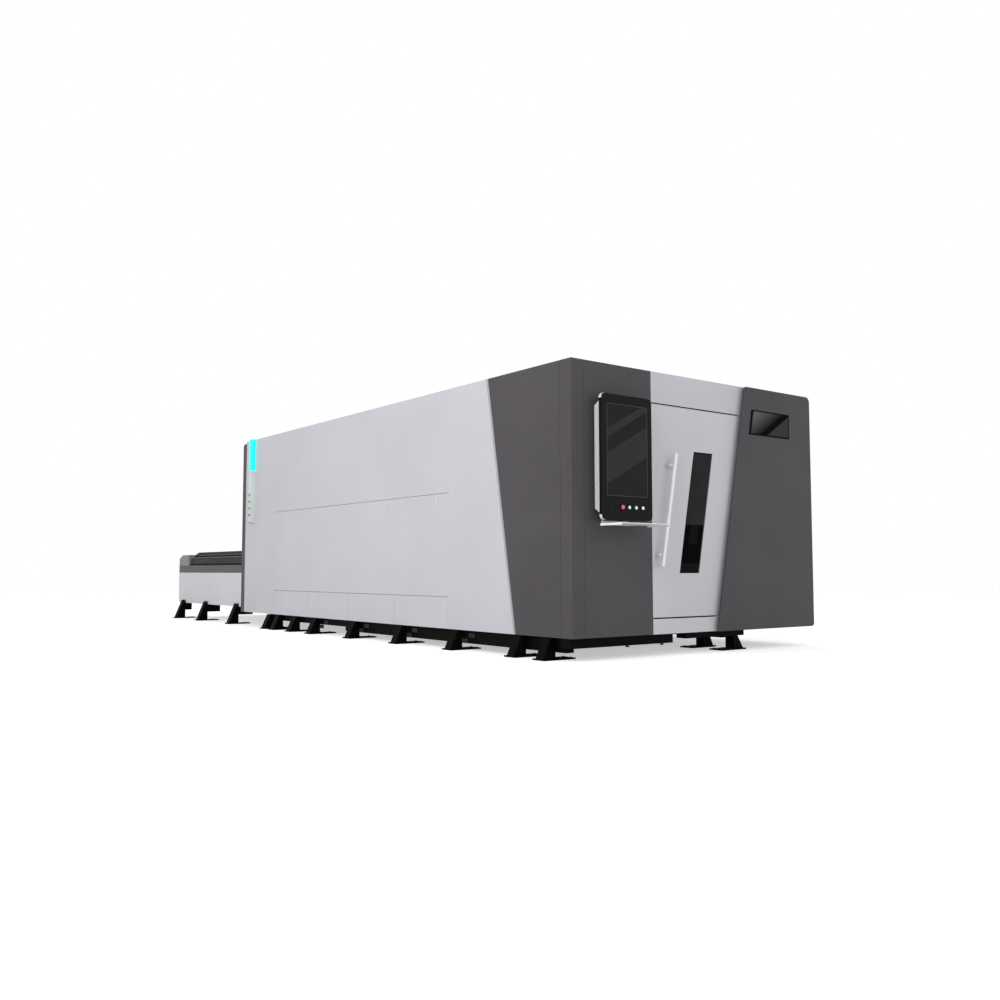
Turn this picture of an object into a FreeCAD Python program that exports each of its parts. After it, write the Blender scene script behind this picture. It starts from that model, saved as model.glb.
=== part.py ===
"""Fiber laser cutting machine: an enclosed gantry cutter with a two-pallet exchange table.

Every length is in millimetres. Sizes are written in the corner frame: X to the right along the
front, Y towards the exchange table, Z up, from the floor point under the front left corner of
the enclosure. Each sub-part is then placed so that the row's origin is on the floor, in the
middle of the overall footprint.
"""

import FreeCAD
import Part
import os
import re
import Sketcher

DRIVING = [
    # enclosure
    ("encl_width", 2867),
    ("encl_length", 6111),
    ("encl_height", 2250),
    ("skirt_height", 170),
    ("panel_depth", 40),
    ("sheet_gauge", 3),
    ("seam", 3),
    ("slant", 0.1745),
    ("front_slant", 0.19),
    ("post_face", 125),
    ("wedge_top", 1030),
    ("portal_depth", 100),
    ("portal_drop", 12),
    ("portal_round", 40),
    ("portal_below", 110),
    ("portal_above", 384),
    ("roof_drop", 5),
    # left side: service cover and slag drawer bays
    ("bay_start", 1607),
    ("bay_pitch", 888),
    ("bay_count", 4),
    ("cover_top", 1343),
    ("drawer_top", 445),
    ("drawer_depth", 860),
    ("drawer_front", 18),
    ("drawer_side_gap", 50),
    ("drawer_box_height", 230),
    ("drawer_clear", 0.3),
    ("window_clear", 6),
    # front face
    ("front_dark_width", 841),
    ("fascia_height", 254),
    ("sill_top", 296),
    ("door_width", 1130),
    ("door_depth", 35),
    ("door_recess", 3),
    ("right_edge_top", 1950),
    ("right_proud", 45),
    ("right_drop", 3),
    ("right_corner_top", 50),
    ("right_corner_foot", 30),
    ("right_bevel", 22),
    ("right_undercut", 44),
    ("right_edge", 30),
    ("right_fold", 60),
    ("right_lap", 80),
    ("glass_gauge", 6),
    ("door_glass_left", 1345),
    ("door_glass_width", 222),
    ("door_glass_top", 1636),
    ("door_glass_foot", 652),
    ("handle_x", 1060),
    ("handle_top", 1597),
    ("handle_foot", 700),
    ("handle_radius", 16.5),
    ("handle_reach", 82),
    ("handle_post_radius", 10),
    ("handle_post_inset", 92),
    ("high_left", 2036),
    ("high_right_inset", 312),
    ("high_drop", 195),
    ("high_height", 219),
    ("high_frame", 20),
    # sliding door gear
    ("rail_height", 30),
    ("rail_depth", 8),
    ("hanger_plate", 8),
    ("hanger_width", 90),
    ("hanger_drop", 70),
    ("hanger_inset", 160),
    ("hanger_wheel", 20),
    # console
    ("console_left", 187),
    ("console_width", 530),
    ("console_foot", 1044),
    ("console_height", 946),
    ("bezel_depth", 27),
    ("bezel_round", 36),
    ("housing_depth", 98),
    ("housing_inset", 18),
    ("housing_end", 40),
    ("housing_taper", 66),
    ("housing_chamfer", 30),
    ("screen_left", 243),
    ("screen_width", 424),
    ("screen_foot", 1225),
    ("screen_height", 692),
    ("screen_gauge", 4),
    ("button_row", 1142),
    ("button_first", 394),
    ("button_pitch", 72),
    ("button_radius", 15),
    ("button_length", 27),
    ("button_proud", 6),
    ("button_clear", 0.3),
    ("tray_left", 187),
    ("tray_width", 500),
    ("tray_top", 1016),
    ("tray_reach", 330),
    ("tray_length", 225),
    ("tray_lip", 17),
    ("tray_gauge", 6),
    ("tray_arm_inset", 110),
    # light strip on the left side
    ("strip_start", 5732),
    ("strip_width", 96),
    ("strip_proud", 50),
    ("strip_foot", 1242),
    ("strip_lens_height", 380),
    ("strip_bevel", 12),
    ("strip_button_y", 5778),
    ("strip_button_foot", 1334),
    ("strip_button_pitch", 81),
    ("strip_button_half", 12),
    ("strip_button_proud", 6),
    ("strip_button_bore", 40),
    ("strip_button_travel", 6),
    # bed
    ("line_x", 965),
    ("pallet_clear", 1530),
    ("bed_beam", 140),
    ("bed_start", 130),
    ("bed_end", 5900),
    ("bed_top", 1000),
    ("bed_floor", 18),
    ("bulkhead", 20),
    ("bulkhead_top", 470),
    ("hand_hole_height", 300),
    ("hand_hole_width", 520),
    ("hand_hole_foot", 560),
    # under the bed
    ("under_height", 70),
    ("under_width", 80),
    ("under_end", 5350),
    ("keel_drop", 42),
    ("keel_end", 3524),
    ("cross_height", 60),
    ("bar_left", 1245),
    ("bar_right", 1971),
    ("bar_height", 49),
    ("plinth_length", 1094),
    ("plinth_height", 74),
    ("plinth_depth", 100),
    ("foot_root", 50),
    ("foot_top_width", 50),
    ("foot_spread", 72),
    ("foot_plate_lip", 10),
    ("foot_inner", 230),
    ("foot_plate", 12),
    ("foot_plate_length", 140),
    ("foot_length", 90),
    ("foot_drop", 5),
    ("anchor_radius", 9),
    ("anchor_x", 150),
    ("foot_y_1", 292),
    ("foot_y_2", 643),
    ("foot_y_3", 1506),
    ("foot_y_4", 2394),
    ("foot_y_5", 3277),
    ("foot_y_6", 4129),
    ("foot_y_7", 4612),
    ("foot_y_8", 5045),
    ("foot_y_9", 5285),
    ("right_foot_y_1", 109),
    ("right_foot_y_2", 437),
    # enclosure frame
    ("tube", 60),
    ("belt_height", 50),
    ("belt_width", 30),
    ("header_height", 60),
    # pallets and their rails
    ("pallet_length", 3050),
    ("pallet_inside", 1650),
    ("pallet_stop_gap", 10),
    ("pallet_level", 766),
    ("pallet_pitch", 215),
    ("pallet_side", 40),
    ("pallet_height", 78),
    ("pallet_gap", 32),
    ("comb_width", 12),
    ("comb_height", 40),
    ("comb_inset", 8),
    ("ledge_width", 28),
    ("ledge_gauge", 10),
    ("ledge_height", 24),
    ("slat_top", 159),
    ("slat_gauge", 6),
    ("slat_first", 170),
    ("slat_count", 20),
    ("slat_teeth", 9),
    ("slat_tooth_depth", 22),
    ("slat_shoulder", 118),
    ("slat_end_gap", 0.5),
    ("slat_ramp", 55),
    ("stringer_width", 50),
    ("stringer_offset", 330),
    ("crossbar_width", 60),
    ("crossbar_count", 5),
    ("roller_radius", 30),
    ("roller_width", 28),
    ("roller_rise", 16),
    ("roller_count", 3),
    ("rail_flange", 40),
    ("rail_gauge", 6),
    ("rail_drop", 60),
    ("rail_start", 1500),
    # exchange table
    ("table_inset", 120),
    ("table_end", 8663),
    ("table_skin", 18),
    ("table_foot", 215),
    ("table_panel_top", 639),
    ("table_beam_top", 740),
    ("table_beam_low", 85),
    ("table_round", 60),
    ("table_gap", 2),
    ("cap_length", 380),
    ("cap_top", 888),
    ("cap_bevel_length", 130),
    ("cap_bevel_drop", 52),
    ("cap_wall", 40),
    ("table_foot_y_1", 6506),
    ("table_foot_y_2", 7569),
    ("table_foot_y_3", 8425),
    ("table_foot_top", 240),
    ("table_foot_spread", 93),
    ("table_foot_width", 32),
    ("table_foot_inner", 150),
    ("arm_length_1", 195),
    ("arm_length_2", 180),
    ("arm_length_3", 97),
    ("arm_foot", 115),
    ("curb_outer", 841),
    ("curb_web_outer", 815),
    ("curb_inner", 766),
    ("curb_foot", 752),
    ("curb_height", 98),
    ("curb_flange", 12),
    ("curb_end", 8232),
    ("drive_width", 300),
    ("drive_length", 170),
    ("drive_height", 180),
    # gantry
    ("gantry_start", 1780),
    ("gantry_depth", 220),
    ("gantry_height", 220),
    ("gantry_wall", 12),
    ("gantry_end_inset", 20),
    ("guide_width", 34),
    ("guide_height", 30),
    ("guide_inset", 70),
    ("rack_width", 22),
    ("rack_height", 28),
    ("rack_inset", 20),
    ("truck_width", 112),
    ("truck_length", 420),
    ("truck_plate", 65),
    ("block_length", 110),
    ("block_width", 72),
    ("block_drop", 24),
    ("slide_clear", 0.3),
    ("motor_size", 90),
    ("motor_height", 190),
    ("beam_rail_width", 22),
    ("beam_rail_depth", 25),
    ("beam_rail_edge", 40),
    ("carriage_start", 300),
    ("carriage_width", 230),
    ("carriage_depth", 48),
    ("carriage_height", 300),
    ("carriage_motor", 80),
    ("carriage_lift", 5),
    ("head_slide_width", 130),
    ("head_slide_depth", 40),
    ("head_slide_foot", 1000),
    ("head_slide_height", 520),
    ("head_radius", 38),
    ("head_foot", 1085),
    ("head_length", 330),
    ("head_chamfer", 12),
    ("head_cone", 80),
    ("head_neck", 16),
    ("nozzle_tip", 975),
    ("nozzle_radius", 7),
    # service zone
    ("cabinet_left", 2080),
    ("cabinet_side_gap", 167),
    ("cabinet_start", 620),
    ("cabinet_width", 800),
    ("cabinet_headroom", 450),
    ("source_start", 1800),
    ("source_width", 850),
    ("source_height", 1000),
    ("joist_y_1", 680),
    ("joist_y_2", 1300),
    ("joist_y_3", 1880),
    ("joist_y_4", 2560),
    ("joist_y_5", 4400),
    ("door_groove", 2),
    ("louvre_length", 320),
    ("louvre_height", 14),
    ("louvre_pitch", 40),
    ("louvre_count", 8),
]

DERIVED = [
    ("foot_reach", "foot_spread + foot_plate_lip"),
    ("centre_x", "(encl_width - foot_reach) / 2"),
    ("centre_y", "(table_end - tray_reach) / 2"),
    ("skin_height", "encl_height - skirt_height"),
    ("wedge_foot", "wedge_top - slant * skin_height"),
    ("side_end", "encl_length - portal_depth - seam"),
    ("bay_end", "bay_start + bay_count * bay_pitch"),
    ("door_top", "encl_height - fascia_height"),
    ("right_top", "encl_height - right_drop"),
    ("right_edge_foot", "right_edge_top - front_slant * (encl_height - skirt_height)"),
    ("high_right", "encl_width - high_right_inset"),
    ("high_top", "encl_height - high_drop"),
    ("high_foot", "high_top - high_height"),
    ("strip_lens_foot", "encl_height - strip_lens_height"),
    ("door_left", "front_dark_width + seam"),
    ("door_right", "door_left + door_width"),
    ("door_back", "door_recess + door_depth"),
    ("roof_seat", "encl_height - roof_drop - panel_depth"),
    ("frame_right", "encl_width - panel_depth"),
    ("frame_rear", "encl_length - portal_depth"),
    ("header_face", "door_back + hanger_plate + rail_depth + 4"),
    ("rail_foot", "door_top + seam + 12"),
    ("half_clear", "pallet_clear / 2"),
    ("bed_left", "line_x - half_clear - bed_beam"),
    ("bed_right", "line_x + half_clear + bed_beam"),
    ("bed_inner_left", "line_x - half_clear"),
    ("bed_inner_right", "line_x + half_clear"),
    ("floor_top", "skirt_height + bed_floor"),
    ("hand_hole_top", "hand_hole_foot + hand_hole_height"),
    ("under_foot", "skirt_height - under_height"),
    ("drawer_half", "(bay_pitch - seam) / 2 - drawer_side_gap"),
    ("window_half", "drawer_half + window_clear"),
    ("window_top", "floor_top + drawer_box_height + 2 * window_clear"),
    ("console_top", "console_foot + console_height"),
    ("bezel_face", "-housing_depth - bezel_depth"),
    ("cabinet_depth", "encl_width - cabinet_side_gap - cabinet_left"),
    ("cabinet_height", "encl_height - cabinet_headroom"),
    ("cabinet_top", "skirt_height + tube + cabinet_height"),
    ("louvre_foot", "skirt_height + tube + 300"),
    ("portal_foot", "pallet_level - pallet_pitch - portal_below"),
    ("portal_top", "pallet_level + portal_above"),
    ("gantry_left", "bed_left + gantry_end_inset"),
    ("foot_out", "line_x - foot_root"),
    ("table_right", "2 * line_x - table_inset"),
    ("pallet_outside", "table_end - cap_wall - pallet_stop_gap - pallet_length"),
    ("pallet_half", "half_clear - pallet_gap"),
    ("slat_half", "pallet_half - pallet_side - slat_end_gap"),
    ("rail_top", "pallet_level + roller_rise - roller_radius - slide_clear"),
    ("pallet_end", "pallet_outside + pallet_length"),
    ("slat_foot", "ledge_height + ledge_gauge"),
    ("table_start", "encl_length + table_gap"),
    ("drive_y", "table_end - cap_length"),
    ("guide_top", "bed_top + guide_height"),
    ("truck_foot", "guide_top + 15"),
    ("gantry_foot", "truck_foot + truck_plate"),
    ("carriage_foot", "gantry_foot + carriage_lift"),
    ("slide_face", "gantry_start - beam_rail_depth - slide_clear"),
    ("head_face", "slide_face - carriage_depth - slide_clear"),
    ("head_y", "head_face - head_slide_depth - head_radius"),
]

DOC = FreeCAD.newDocument("LaserCuttingMachine")
SHEET = DOC.addObject("Spreadsheet::Sheet", "Dims")
ALIASES = {name for name, _ in DRIVING + DERIVED}
NODES = []

VECTOR = FreeCAD.Vector
AXES = {"x": VECTOR(1, 0, 0), "y": VECTOR(0, 1, 0), "z": VECTOR(0, 0, 1)}
PLANES = {"z": "XY_Plane", "y": "XZ_Plane", "x": "YZ_Plane"}
TURNS = {
    "x": FreeCAD.Rotation(AXES["y"], 90),
    "y": FreeCAD.Rotation(AXES["x"], -90),
    "z": FreeCAD.Rotation(),
}


# ---------------------------------------------------------------- parametric helpers


def fill_sheet():
    for row, (name, value) in enumerate(DRIVING + DERIVED, 1):
        SHEET.set(f"A{row}", name)
        SHEET.set(f"B{row}", f"={value}" if isinstance(value, str) else str(value))
        SHEET.setAlias(f"B{row}", name)
    DOC.recompute()


def ex(text):
    """The expression that a property is bound to: each alias is looked up in the sheet."""
    return re.sub(r"[a-z]\w*", lambda m: f"Dims.{m[0]}" if m[0] in ALIASES else m[0], str(text))


def val(text):
    """The present value of an expression, for the first geometry of a sketch."""
    value = SHEET.evalExpression(ex(text))
    return float(getattr(value, "Value", value))


def bind(obj, **texts):
    for prop, text in texts.items():
        obj.setExpression(prop, ex(text))
    return obj


def place(obj, at):
    for axis, text in zip("xyz", at):
        obj.setExpression(f"Placement.Base.{axis}", ex(text))
    return obj


def node(obj, label, at=("0", "0", "0")):
    """Name a sub-part and move it from the corner frame into the row frame."""
    obj.Label = label
    place(obj, (f"{at[0]} - centre_x", f"{at[1]} - centre_y", at[2]))
    NODES.append(obj)
    return obj


def block(low, high, name="Block"):
    solid = DOC.addObject("Part::Box", name)
    for prop, a, b in zip(("Length", "Width", "Height"), low, high):
        solid.setExpression(prop, ex(f"({b}) - ({a})"))
    return place(solid, low)


def rod(start, radius, length, along, name="Rod"):
    solid = DOC.addObject("Part::Cylinder", name)
    solid.Placement = FreeCAD.Placement(VECTOR(), TURNS[along])
    bind(solid, Radius=radius, Height=length)
    return place(solid, start)


def weld(solids, name="Weld"):
    joined = DOC.addObject("Part::MultiFuse", name)
    joined.Shapes = solids
    return joined


def cut(base, tool, name="Cut"):
    result = DOC.addObject("Part::Cut", name)
    result.Base = base
    result.Tool = tool
    return result


def group(solids, name="Group"):
    """Separate solids that share one node."""
    result = DOC.addObject("Part::Compound", name)
    result.Links = solids
    return result


def origin_part(body, role):
    return next(part for part in body.Origin.OriginFeatures if part.Role == role)


def new_body(label, at=("0", "0", "0")):
    return node(DOC.addObject("PartDesign::Body", label), label, at)


def sketch(body, normal, offset="0"):
    """A sketch square to an axis. Its two directions are the other two axes, in order."""
    drawing = body.newObject("Sketcher::SketchObject", f"{body.Name}Sketch")
    drawing.AttachmentSupport = (origin_part(body, PLANES[normal]), [""])
    drawing.MapMode = "FlatFace"
    sign = "-1" if normal == "y" else "1"
    drawing.setExpression("AttachmentOffset.Base.z", ex(f"{sign} * ({offset})"))
    return drawing


def polygon(drawing, corners):
    """A closed outline whose every corner is dimensioned from the sheet."""
    spots = [VECTOR(val(a), val(b), 0) for a, b in corners]
    count = len(spots)
    first = drawing.GeometryCount
    lines = [Part.LineSegment(spots[i], spots[(i + 1) % count]) for i in range(count)]
    drawing.addGeometry(lines, False)
    rules = []
    for i in range(count):
        rules.append(Sketcher.Constraint("Coincident", first + i, 2, first + (i + 1) % count, 1))
    for i, spot in enumerate(spots):
        rules.append(Sketcher.Constraint("DistanceX", -1, 1, first + i, 1, spot.x))
        rules.append(Sketcher.Constraint("DistanceY", -1, 1, first + i, 1, spot.y))
    start = drawing.ConstraintCount + count
    drawing.addConstraint(rules)
    for i, (a, b) in enumerate(corners):
        drawing.setExpression(f"Constraints[{start + 2 * i}]", ex(a))
        drawing.setExpression(f"Constraints[{start + 2 * i + 1}]", ex(b))
    return drawing


def rectangle(drawing, low, high):
    return polygon(drawing, [low, (high[0], low[1]), high, (low[0], high[1])])


def circle(drawing, centre, radius):
    index = drawing.addGeometry(
        Part.Circle(VECTOR(val(centre[0]), val(centre[1]), 0), AXES["z"], val(radius)), False
    )
    rules = [
        Sketcher.Constraint("DistanceX", -1, 1, index, 3, val(centre[0])),
        Sketcher.Constraint("DistanceY", -1, 1, index, 3, val(centre[1])),
        Sketcher.Constraint("Radius", index, val(radius)),
    ]
    start = drawing.ConstraintCount
    drawing.addConstraint(rules)
    for i, text in enumerate((centre[0], centre[1], radius)):
        drawing.setExpression(f"Constraints[{start + i}]", ex(text))
    return drawing


def pad(body, drawing, length, normal):
    """Material from the sketch towards the positive side of its axis."""
    feature = body.newObject("PartDesign::Pad", f"{body.Name}Pad")
    feature.Profile = drawing
    feature.Reversed = normal == "y"
    bind(feature, Length=length)
    drawing.Visibility = False
    DOC.recompute()
    return feature


def pocket(body, drawing, length, normal):
    """A cut from the sketch towards the positive side of its axis."""
    before = body.Shape.Volume
    feature = body.newObject("PartDesign::Pocket", f"{body.Name}Pocket")
    feature.Profile = drawing
    feature.Reversed = normal != "y"
    bind(feature, Length=length)
    DOC.recompute()
    if body.Shape.Volume >= before - 1e-6:
        raise RuntimeError(f"a pocket of {body.Label} cuts nothing")
    return feature


def repeat(body, features, axis, length, count):
    """Equal copies of features along an axis; length runs from the first to the last."""
    pattern = body.newObject("PartDesign::LinearPattern", f"{body.Name}Pattern")
    pattern.Originals = features
    pattern.Direction = (origin_part(body, f"{axis.upper()}_Axis"), [""])
    bind(pattern, Length=length, Occurrences=count)
    body.Tip = pattern
    DOC.recompute()
    return pattern


def dress(body, kind, size, along, keep):
    """Fillet or chamfer the straight edges along an axis that keep() accepts."""
    base = body.Tip
    names = []
    for index, edge in enumerate(base.Shape.Edges, 1):
        tangent = edge.tangentAt(edge.FirstParameter)
        straight = edge.Curve.TypeId == "Part::GeomLine"
        if straight and tangent.cross(along).Length < 1e-3 and keep(edge.CenterOfMass):
            names.append(f"Edge{index}")
    feature = body.newObject(f"PartDesign::{kind}", f"{body.Name}{kind}")
    feature.Base = (base, names)
    bind(feature, **{"Radius" if kind == "Fillet" else "Size": size})
    DOC.recompute()
    return feature


def fold(body, normal, gauge="sheet_gauge"):
    """Turn a plate into a folded tray of sheet metal, open on the side that normal names."""
    base = body.Tip
    sides = [
        (face.Area, index)
        for index, face in enumerate(base.Shape.Faces, 1)
        if face.normalAt(0, 0).dot(normal) > 0.999
    ]
    feature = body.newObject("PartDesign::Thickness", f"{body.Name}Fold")
    feature.Base = (base, [f"Face{max(sides)[1]}"])
    feature.Reversed = True
    feature.Join = 1
    bind(feature, Value=gauge)
    DOC.recompute()
    return feature


def slanted(top_x, height):
    """X at a height, on a line that leans like the edge of the dark panel at the right."""
    return f"{top_x} - front_slant * (encl_height - ({height}))"


# ---------------------------------------------------------------- bed and its feet


def mirrored_blocks(near, far, low, high):
    """Two equal blocks, the same distance each side of the line through the pallets."""
    left = block(
        (f"line_x - ({far})", low[0], low[1]), (f"line_x - ({near})", high[0], high[1])
    )
    right = block(
        (f"line_x + ({near})", low[0], low[1]), (f"line_x + ({far})", high[0], high[1])
    )
    return [left, right]


def bed_frame():
    """A weldment: floor plate, long beams, the posts between them, and the bay bulkheads."""
    near, far = "half_clear", "half_clear + bed_beam"
    members = [
        block(("bed_left", "bed_start", "skirt_height"), ("bed_right", "bed_end", "floor_top")),
        block(
            ("bed_inner_right", "bed_start", "floor_top"), ("bed_right", "bed_end", "window_top")
        ),
    ]
    for foot, top in (("window_top", "hand_hole_foot"), ("hand_hole_top", "bed_top")):
        members += mirrored_blocks(near, far, ("bed_start", foot), ("bed_end", top))
    for index in range(int(val("bay_count")) + 1):
        boundary = f"bay_start + {index} * bay_pitch"
        first, last = index == 0, index == val("bay_count")
        low = "bed_start" if first else f"{boundary} - bay_pitch / 2 + window_half"
        high = "bed_end" if last else f"{boundary} + bay_pitch / 2 - window_half"
        members.append(
            block(("bed_left", low, "floor_top"), ("bed_inner_left", high, "window_top"))
        )
        low = "bed_start" if first else f"{boundary} - (bay_pitch - hand_hole_width) / 2"
        high = "bed_end" if last else f"{boundary} + (bay_pitch - hand_hole_width) / 2"
        members += mirrored_blocks(near, far, (low, "hand_hole_foot"), (high, "hand_hole_top"))
        members.append(
            block(
                ("bed_inner_left", f"{boundary} - bulkhead / 2", "floor_top"),
                ("bed_inner_right", f"{boundary} + bulkhead / 2", "bulkhead_top"),
            )
        )
    node(group(members), "bed_frame")


def guide_rails():
    inner = "half_clear + bed_beam - guide_inset - guide_width / 2"
    outer = "half_clear + bed_beam - guide_inset + guide_width / 2"
    rails = mirrored_blocks(inner, outer, ("rail_start", "bed_top"), ("bed_end - 50", "guide_top"))
    node(group(rails), "guide_rails")


def gear_racks():
    inner = "half_clear + bed_beam - rack_inset - rack_width / 2"
    outer = "half_clear + bed_beam - rack_inset + rack_width / 2"
    racks = mirrored_blocks(
        inner, outer, ("rail_start", "bed_top"), ("bed_end - 50", "bed_top + rack_height")
    )
    node(group(racks), "gear_racks")


TABLE_FEET_Y = [f"table_foot_y_{i}" for i in range(1, 4)]


def pallet_rails():
    rails = []
    for top in ("rail_top", "rail_top - pallet_pitch"):
        flats = mirrored_blocks(
            "half_clear - rail_flange",
            "half_clear",
            ("rail_start", f"{top} - rail_gauge"),
            ("pallet_end - 30", top),
        )
        webs = mirrored_blocks(
            "half_clear - rail_gauge",
            "half_clear",
            ("rail_start", f"{top} - rail_drop"),
            ("pallet_end - 30", top),
        )
        rails += [weld([flat, web]) for flat, web in zip(flats, webs)]
    node(group(rails + pallet_curbs()), "pallet_rails")


def pallet_curbs():
    """Channels along the table, one each side of the pallets, on spacers over its beams."""
    top = "curb_foot + curb_height"
    web = mirrored_blocks(
        "curb_inner",
        "curb_web_outer",
        ("table_start", "curb_foot"),
        ("table_end - cap_length", top),
    )
    flanges = []
    for foot in ("curb_foot", f"{top} - curb_flange"):
        flanges += mirrored_blocks(
            "curb_web_outer",
            "curb_outer",
            ("table_start", foot),
            ("curb_end", f"{foot} + curb_flange"),
        )
    spacers = []
    for y_centre in (*TABLE_FEET_Y[:-1], "curb_end"):
        spacers += mirrored_blocks(
            "curb_inner",
            "curb_web_outer",
            (f"{y_centre} - tube / 2", "table_beam_top"),
            (f"{y_centre} + tube / 2", "curb_foot"),
        )
    return web + flanges + spacers


FEET_Y = [f"foot_y_{i}" for i in range(1, 10)]
RIGHT_FEET_Y = ["right_foot_y_1", "right_foot_y_2"] + FEET_Y[2:]
ANCHORED = (FEET_Y[2], FEET_Y[-1])


def leg(side, root, top_width, spread, foot, top, y_centre):
    """A tapered leg: upright inside, leaning outwards to the floor."""
    wedge = DOC.addObject("Part::Wedge", "Leg")
    wedge.Placement = FreeCAD.Placement(VECTOR(), FreeCAD.Rotation(AXES["x"], 90))
    if side < 0:
        bind(wedge, Xmin=f"-({spread} + {root})", Xmax=f"-({root})")
        bind(wedge, X2min=f"-({root} + {top_width})", X2max=f"-({root})")
    else:
        bind(wedge, Xmin=root, Xmax=f"{spread} + {root}")
        bind(wedge, X2min=root, X2max=f"{root} + {top_width}")
    bind(wedge, Ymin="0", Ymax=f"({top}) - ({foot})", Zmin="0", Z2min="0")
    bind(wedge, Zmax="foot_length", Z2max="foot_length")
    return place(wedge, ("line_x", f"{y_centre} + foot_length / 2", foot))


def foot_plate(side, inner, outer, y_centre):
    low, high = (f"-({outer})", f"-({inner})") if side < 0 else (inner, outer)
    half = "foot_plate_length / 2"
    return block(
        (f"line_x + {low}", f"{y_centre} - {half}", "0"),
        (f"line_x + {high}", f"{y_centre} + {half}", "foot_plate"),
    )


def machine_feet():
    feet = []
    for side, row in ((-1, FEET_Y), (1, RIGHT_FEET_Y)):
        for y_centre in row:
            drop = "bar_height" if y_centre == RIGHT_FEET_Y[0] else "foot_drop"
            upright = leg(
                side,
                "foot_out",
                "foot_top_width",
                "foot_root + foot_spread",
                "foot_plate",
                f"skirt_height - {drop}",
                y_centre,
            )
            plate = foot_plate(side, "line_x - foot_inner", "line_x + foot_reach", y_centre)
            foot = weld([upright, plate])
            if y_centre in ANCHORED:
                anchor_x = f"line_x + {side} * (line_x - anchor_x)"
                bore = rod((anchor_x, y_centre, "-1"), "anchor_radius", "foot_plate + 2", "z")
                foot = cut(foot, bore)
            feet.append(foot)
    node(group(feet), "machine_feet")


def underframe():
    inner = "foot_out - under_width"
    beams = mirrored_blocks(
        inner, "foot_out", ("bed_start", "under_foot"), ("under_end", "skirt_height")
    )
    keel_foot = "under_foot - keel_drop"
    beams.append(
        block(
            ("line_x - foot_out", "bed_start", keel_foot),
            (f"line_x - ({inner})", "keel_end", "under_foot"),
        )
    )
    for y_centre in FEET_Y[1:]:
        beams.append(
            block(
                (f"line_x - ({inner})", f"{y_centre} - under_width / 2", "skirt_height - cross_height"),
                (f"line_x + ({inner})", f"{y_centre} + under_width / 2", "skirt_height"),
            )
        )
    for left, right, height in (
        ("0", "plinth_length", "plinth_height"),
        ("bar_left", "bar_right", "bar_height"),
    ):
        beams.append(
            block(
                (left, "bed_start - plinth_depth", f"skirt_height - {height}"),
                (right, "bed_start", "skirt_height"),
            )
        )
    node(group(beams), "underframe")


# ---------------------------------------------------------------- enclosure


def enclosure_frame():
    top = "roof_seat - tube"
    sill = "skirt_height + tube"
    near, far = "panel_depth", "panel_depth + tube"
    right, right_in = "frame_right", "frame_right - tube"
    rear, rear_in = "frame_rear", "frame_rear - tube"
    tubes = [
        block((near, near, "skirt_height"), (far, far, top)),
        block((right_in, near, sill), (right, far, top)),
        block((near, rear_in, "skirt_height"), (far, rear, top)),
        block((right_in, rear_in, sill), (right, rear, top)),
        block(("front_dark_width - tube", near, sill), ("front_dark_width", far, top)),
        block((near, near, top), (far, rear, "roof_seat")),
        block((right_in, near, top), (right, rear, "roof_seat")),
        block((far, near, top), (right_in, far, "roof_seat")),
        block((far, rear_in, top), (right_in, rear, "roof_seat")),
        block((far, near, "skirt_height"), (right_in, far, sill)),
        block((far, rear_in, "skirt_height"), (right_in, rear, sill)),
        block((right_in, near, "skirt_height"), (right, rear, sill)),
        block(
            (near, far, "cover_top - belt_height / 2"),
            ("panel_depth + belt_width", rear_in, "cover_top + belt_height / 2"),
        ),
        block(
            ("front_dark_width", "header_face", "rail_foot"),
            (right_in, far, "rail_foot + header_height"),
        ),
    ]
    for y_start in ("joist_y_1", "joist_y_2", "joist_y_3", "joist_y_4", "joist_y_5"):
        tubes.append(
            block(("bed_right", y_start, "skirt_height"), (right_in, f"{y_start} + tube", sill))
        )
    for share in (1, 2, 3):
        y_start = f"encl_length * {share} / 4"
        tubes.append(block((far, y_start, top), (right_in, f"{y_start} + tube", "roof_seat")))
    node(group(tubes), "enclosure_frame")


def left_side_panel():
    body = new_body("left_side_panel")
    outline = [
        ("wedge_foot + seam", "skirt_height"),
        ("bay_start", "skirt_height"),
        ("bay_start", "cover_top"),
        ("bay_end", "cover_top"),
        ("bay_end", "skirt_height"),
        ("side_end", "skirt_height"),
        ("side_end", "encl_height"),
        ("wedge_top + seam", "encl_height"),
    ]
    pad(body, polygon(sketch(body, "x"), outline), "panel_depth", "x")
    fold(body, AXES["x"])


def side_service_cover():
    body = new_body("side_service_cover")
    drawing = sketch(body, "x")
    rectangle(drawing, ("bay_start + seam", "drawer_top"), ("bay_end - seam", "cover_top - seam"))
    pad(body, drawing, "panel_depth", "x")
    fold(body, AXES["x"])


def left_front_panel():
    body = new_body("left_front_panel")
    outline = [
        ("post_face + seam", "skirt_height"),
        ("wedge_foot", "skirt_height"),
        ("wedge_top", "encl_height"),
        ("post_face + seam", "encl_height"),
    ]
    pad(body, polygon(sketch(body, "x"), outline), "panel_depth", "x")
    fold(body, AXES["x"])


def front_corner_post():
    body = new_body("front_corner_post", ("0", "0", "skirt_height"))
    section = [
        ("0", "0"),
        ("post_face", "0"),
        ("post_face", "panel_depth"),
        ("panel_depth", "panel_depth"),
        ("panel_depth", "post_face"),
        ("0", "post_face"),
    ]
    pad(body, polygon(sketch(body, "z"), section), "skin_height", "z")


def front_left_panel():
    body = new_body("front_left_panel")
    drawing = sketch(body, "y")
    rectangle(
        drawing, ("post_face + seam", "skirt_height"), ("front_dark_width", "encl_height")
    )
    pad(body, drawing, "panel_depth", "y")
    fold(body, AXES["y"])


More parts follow.
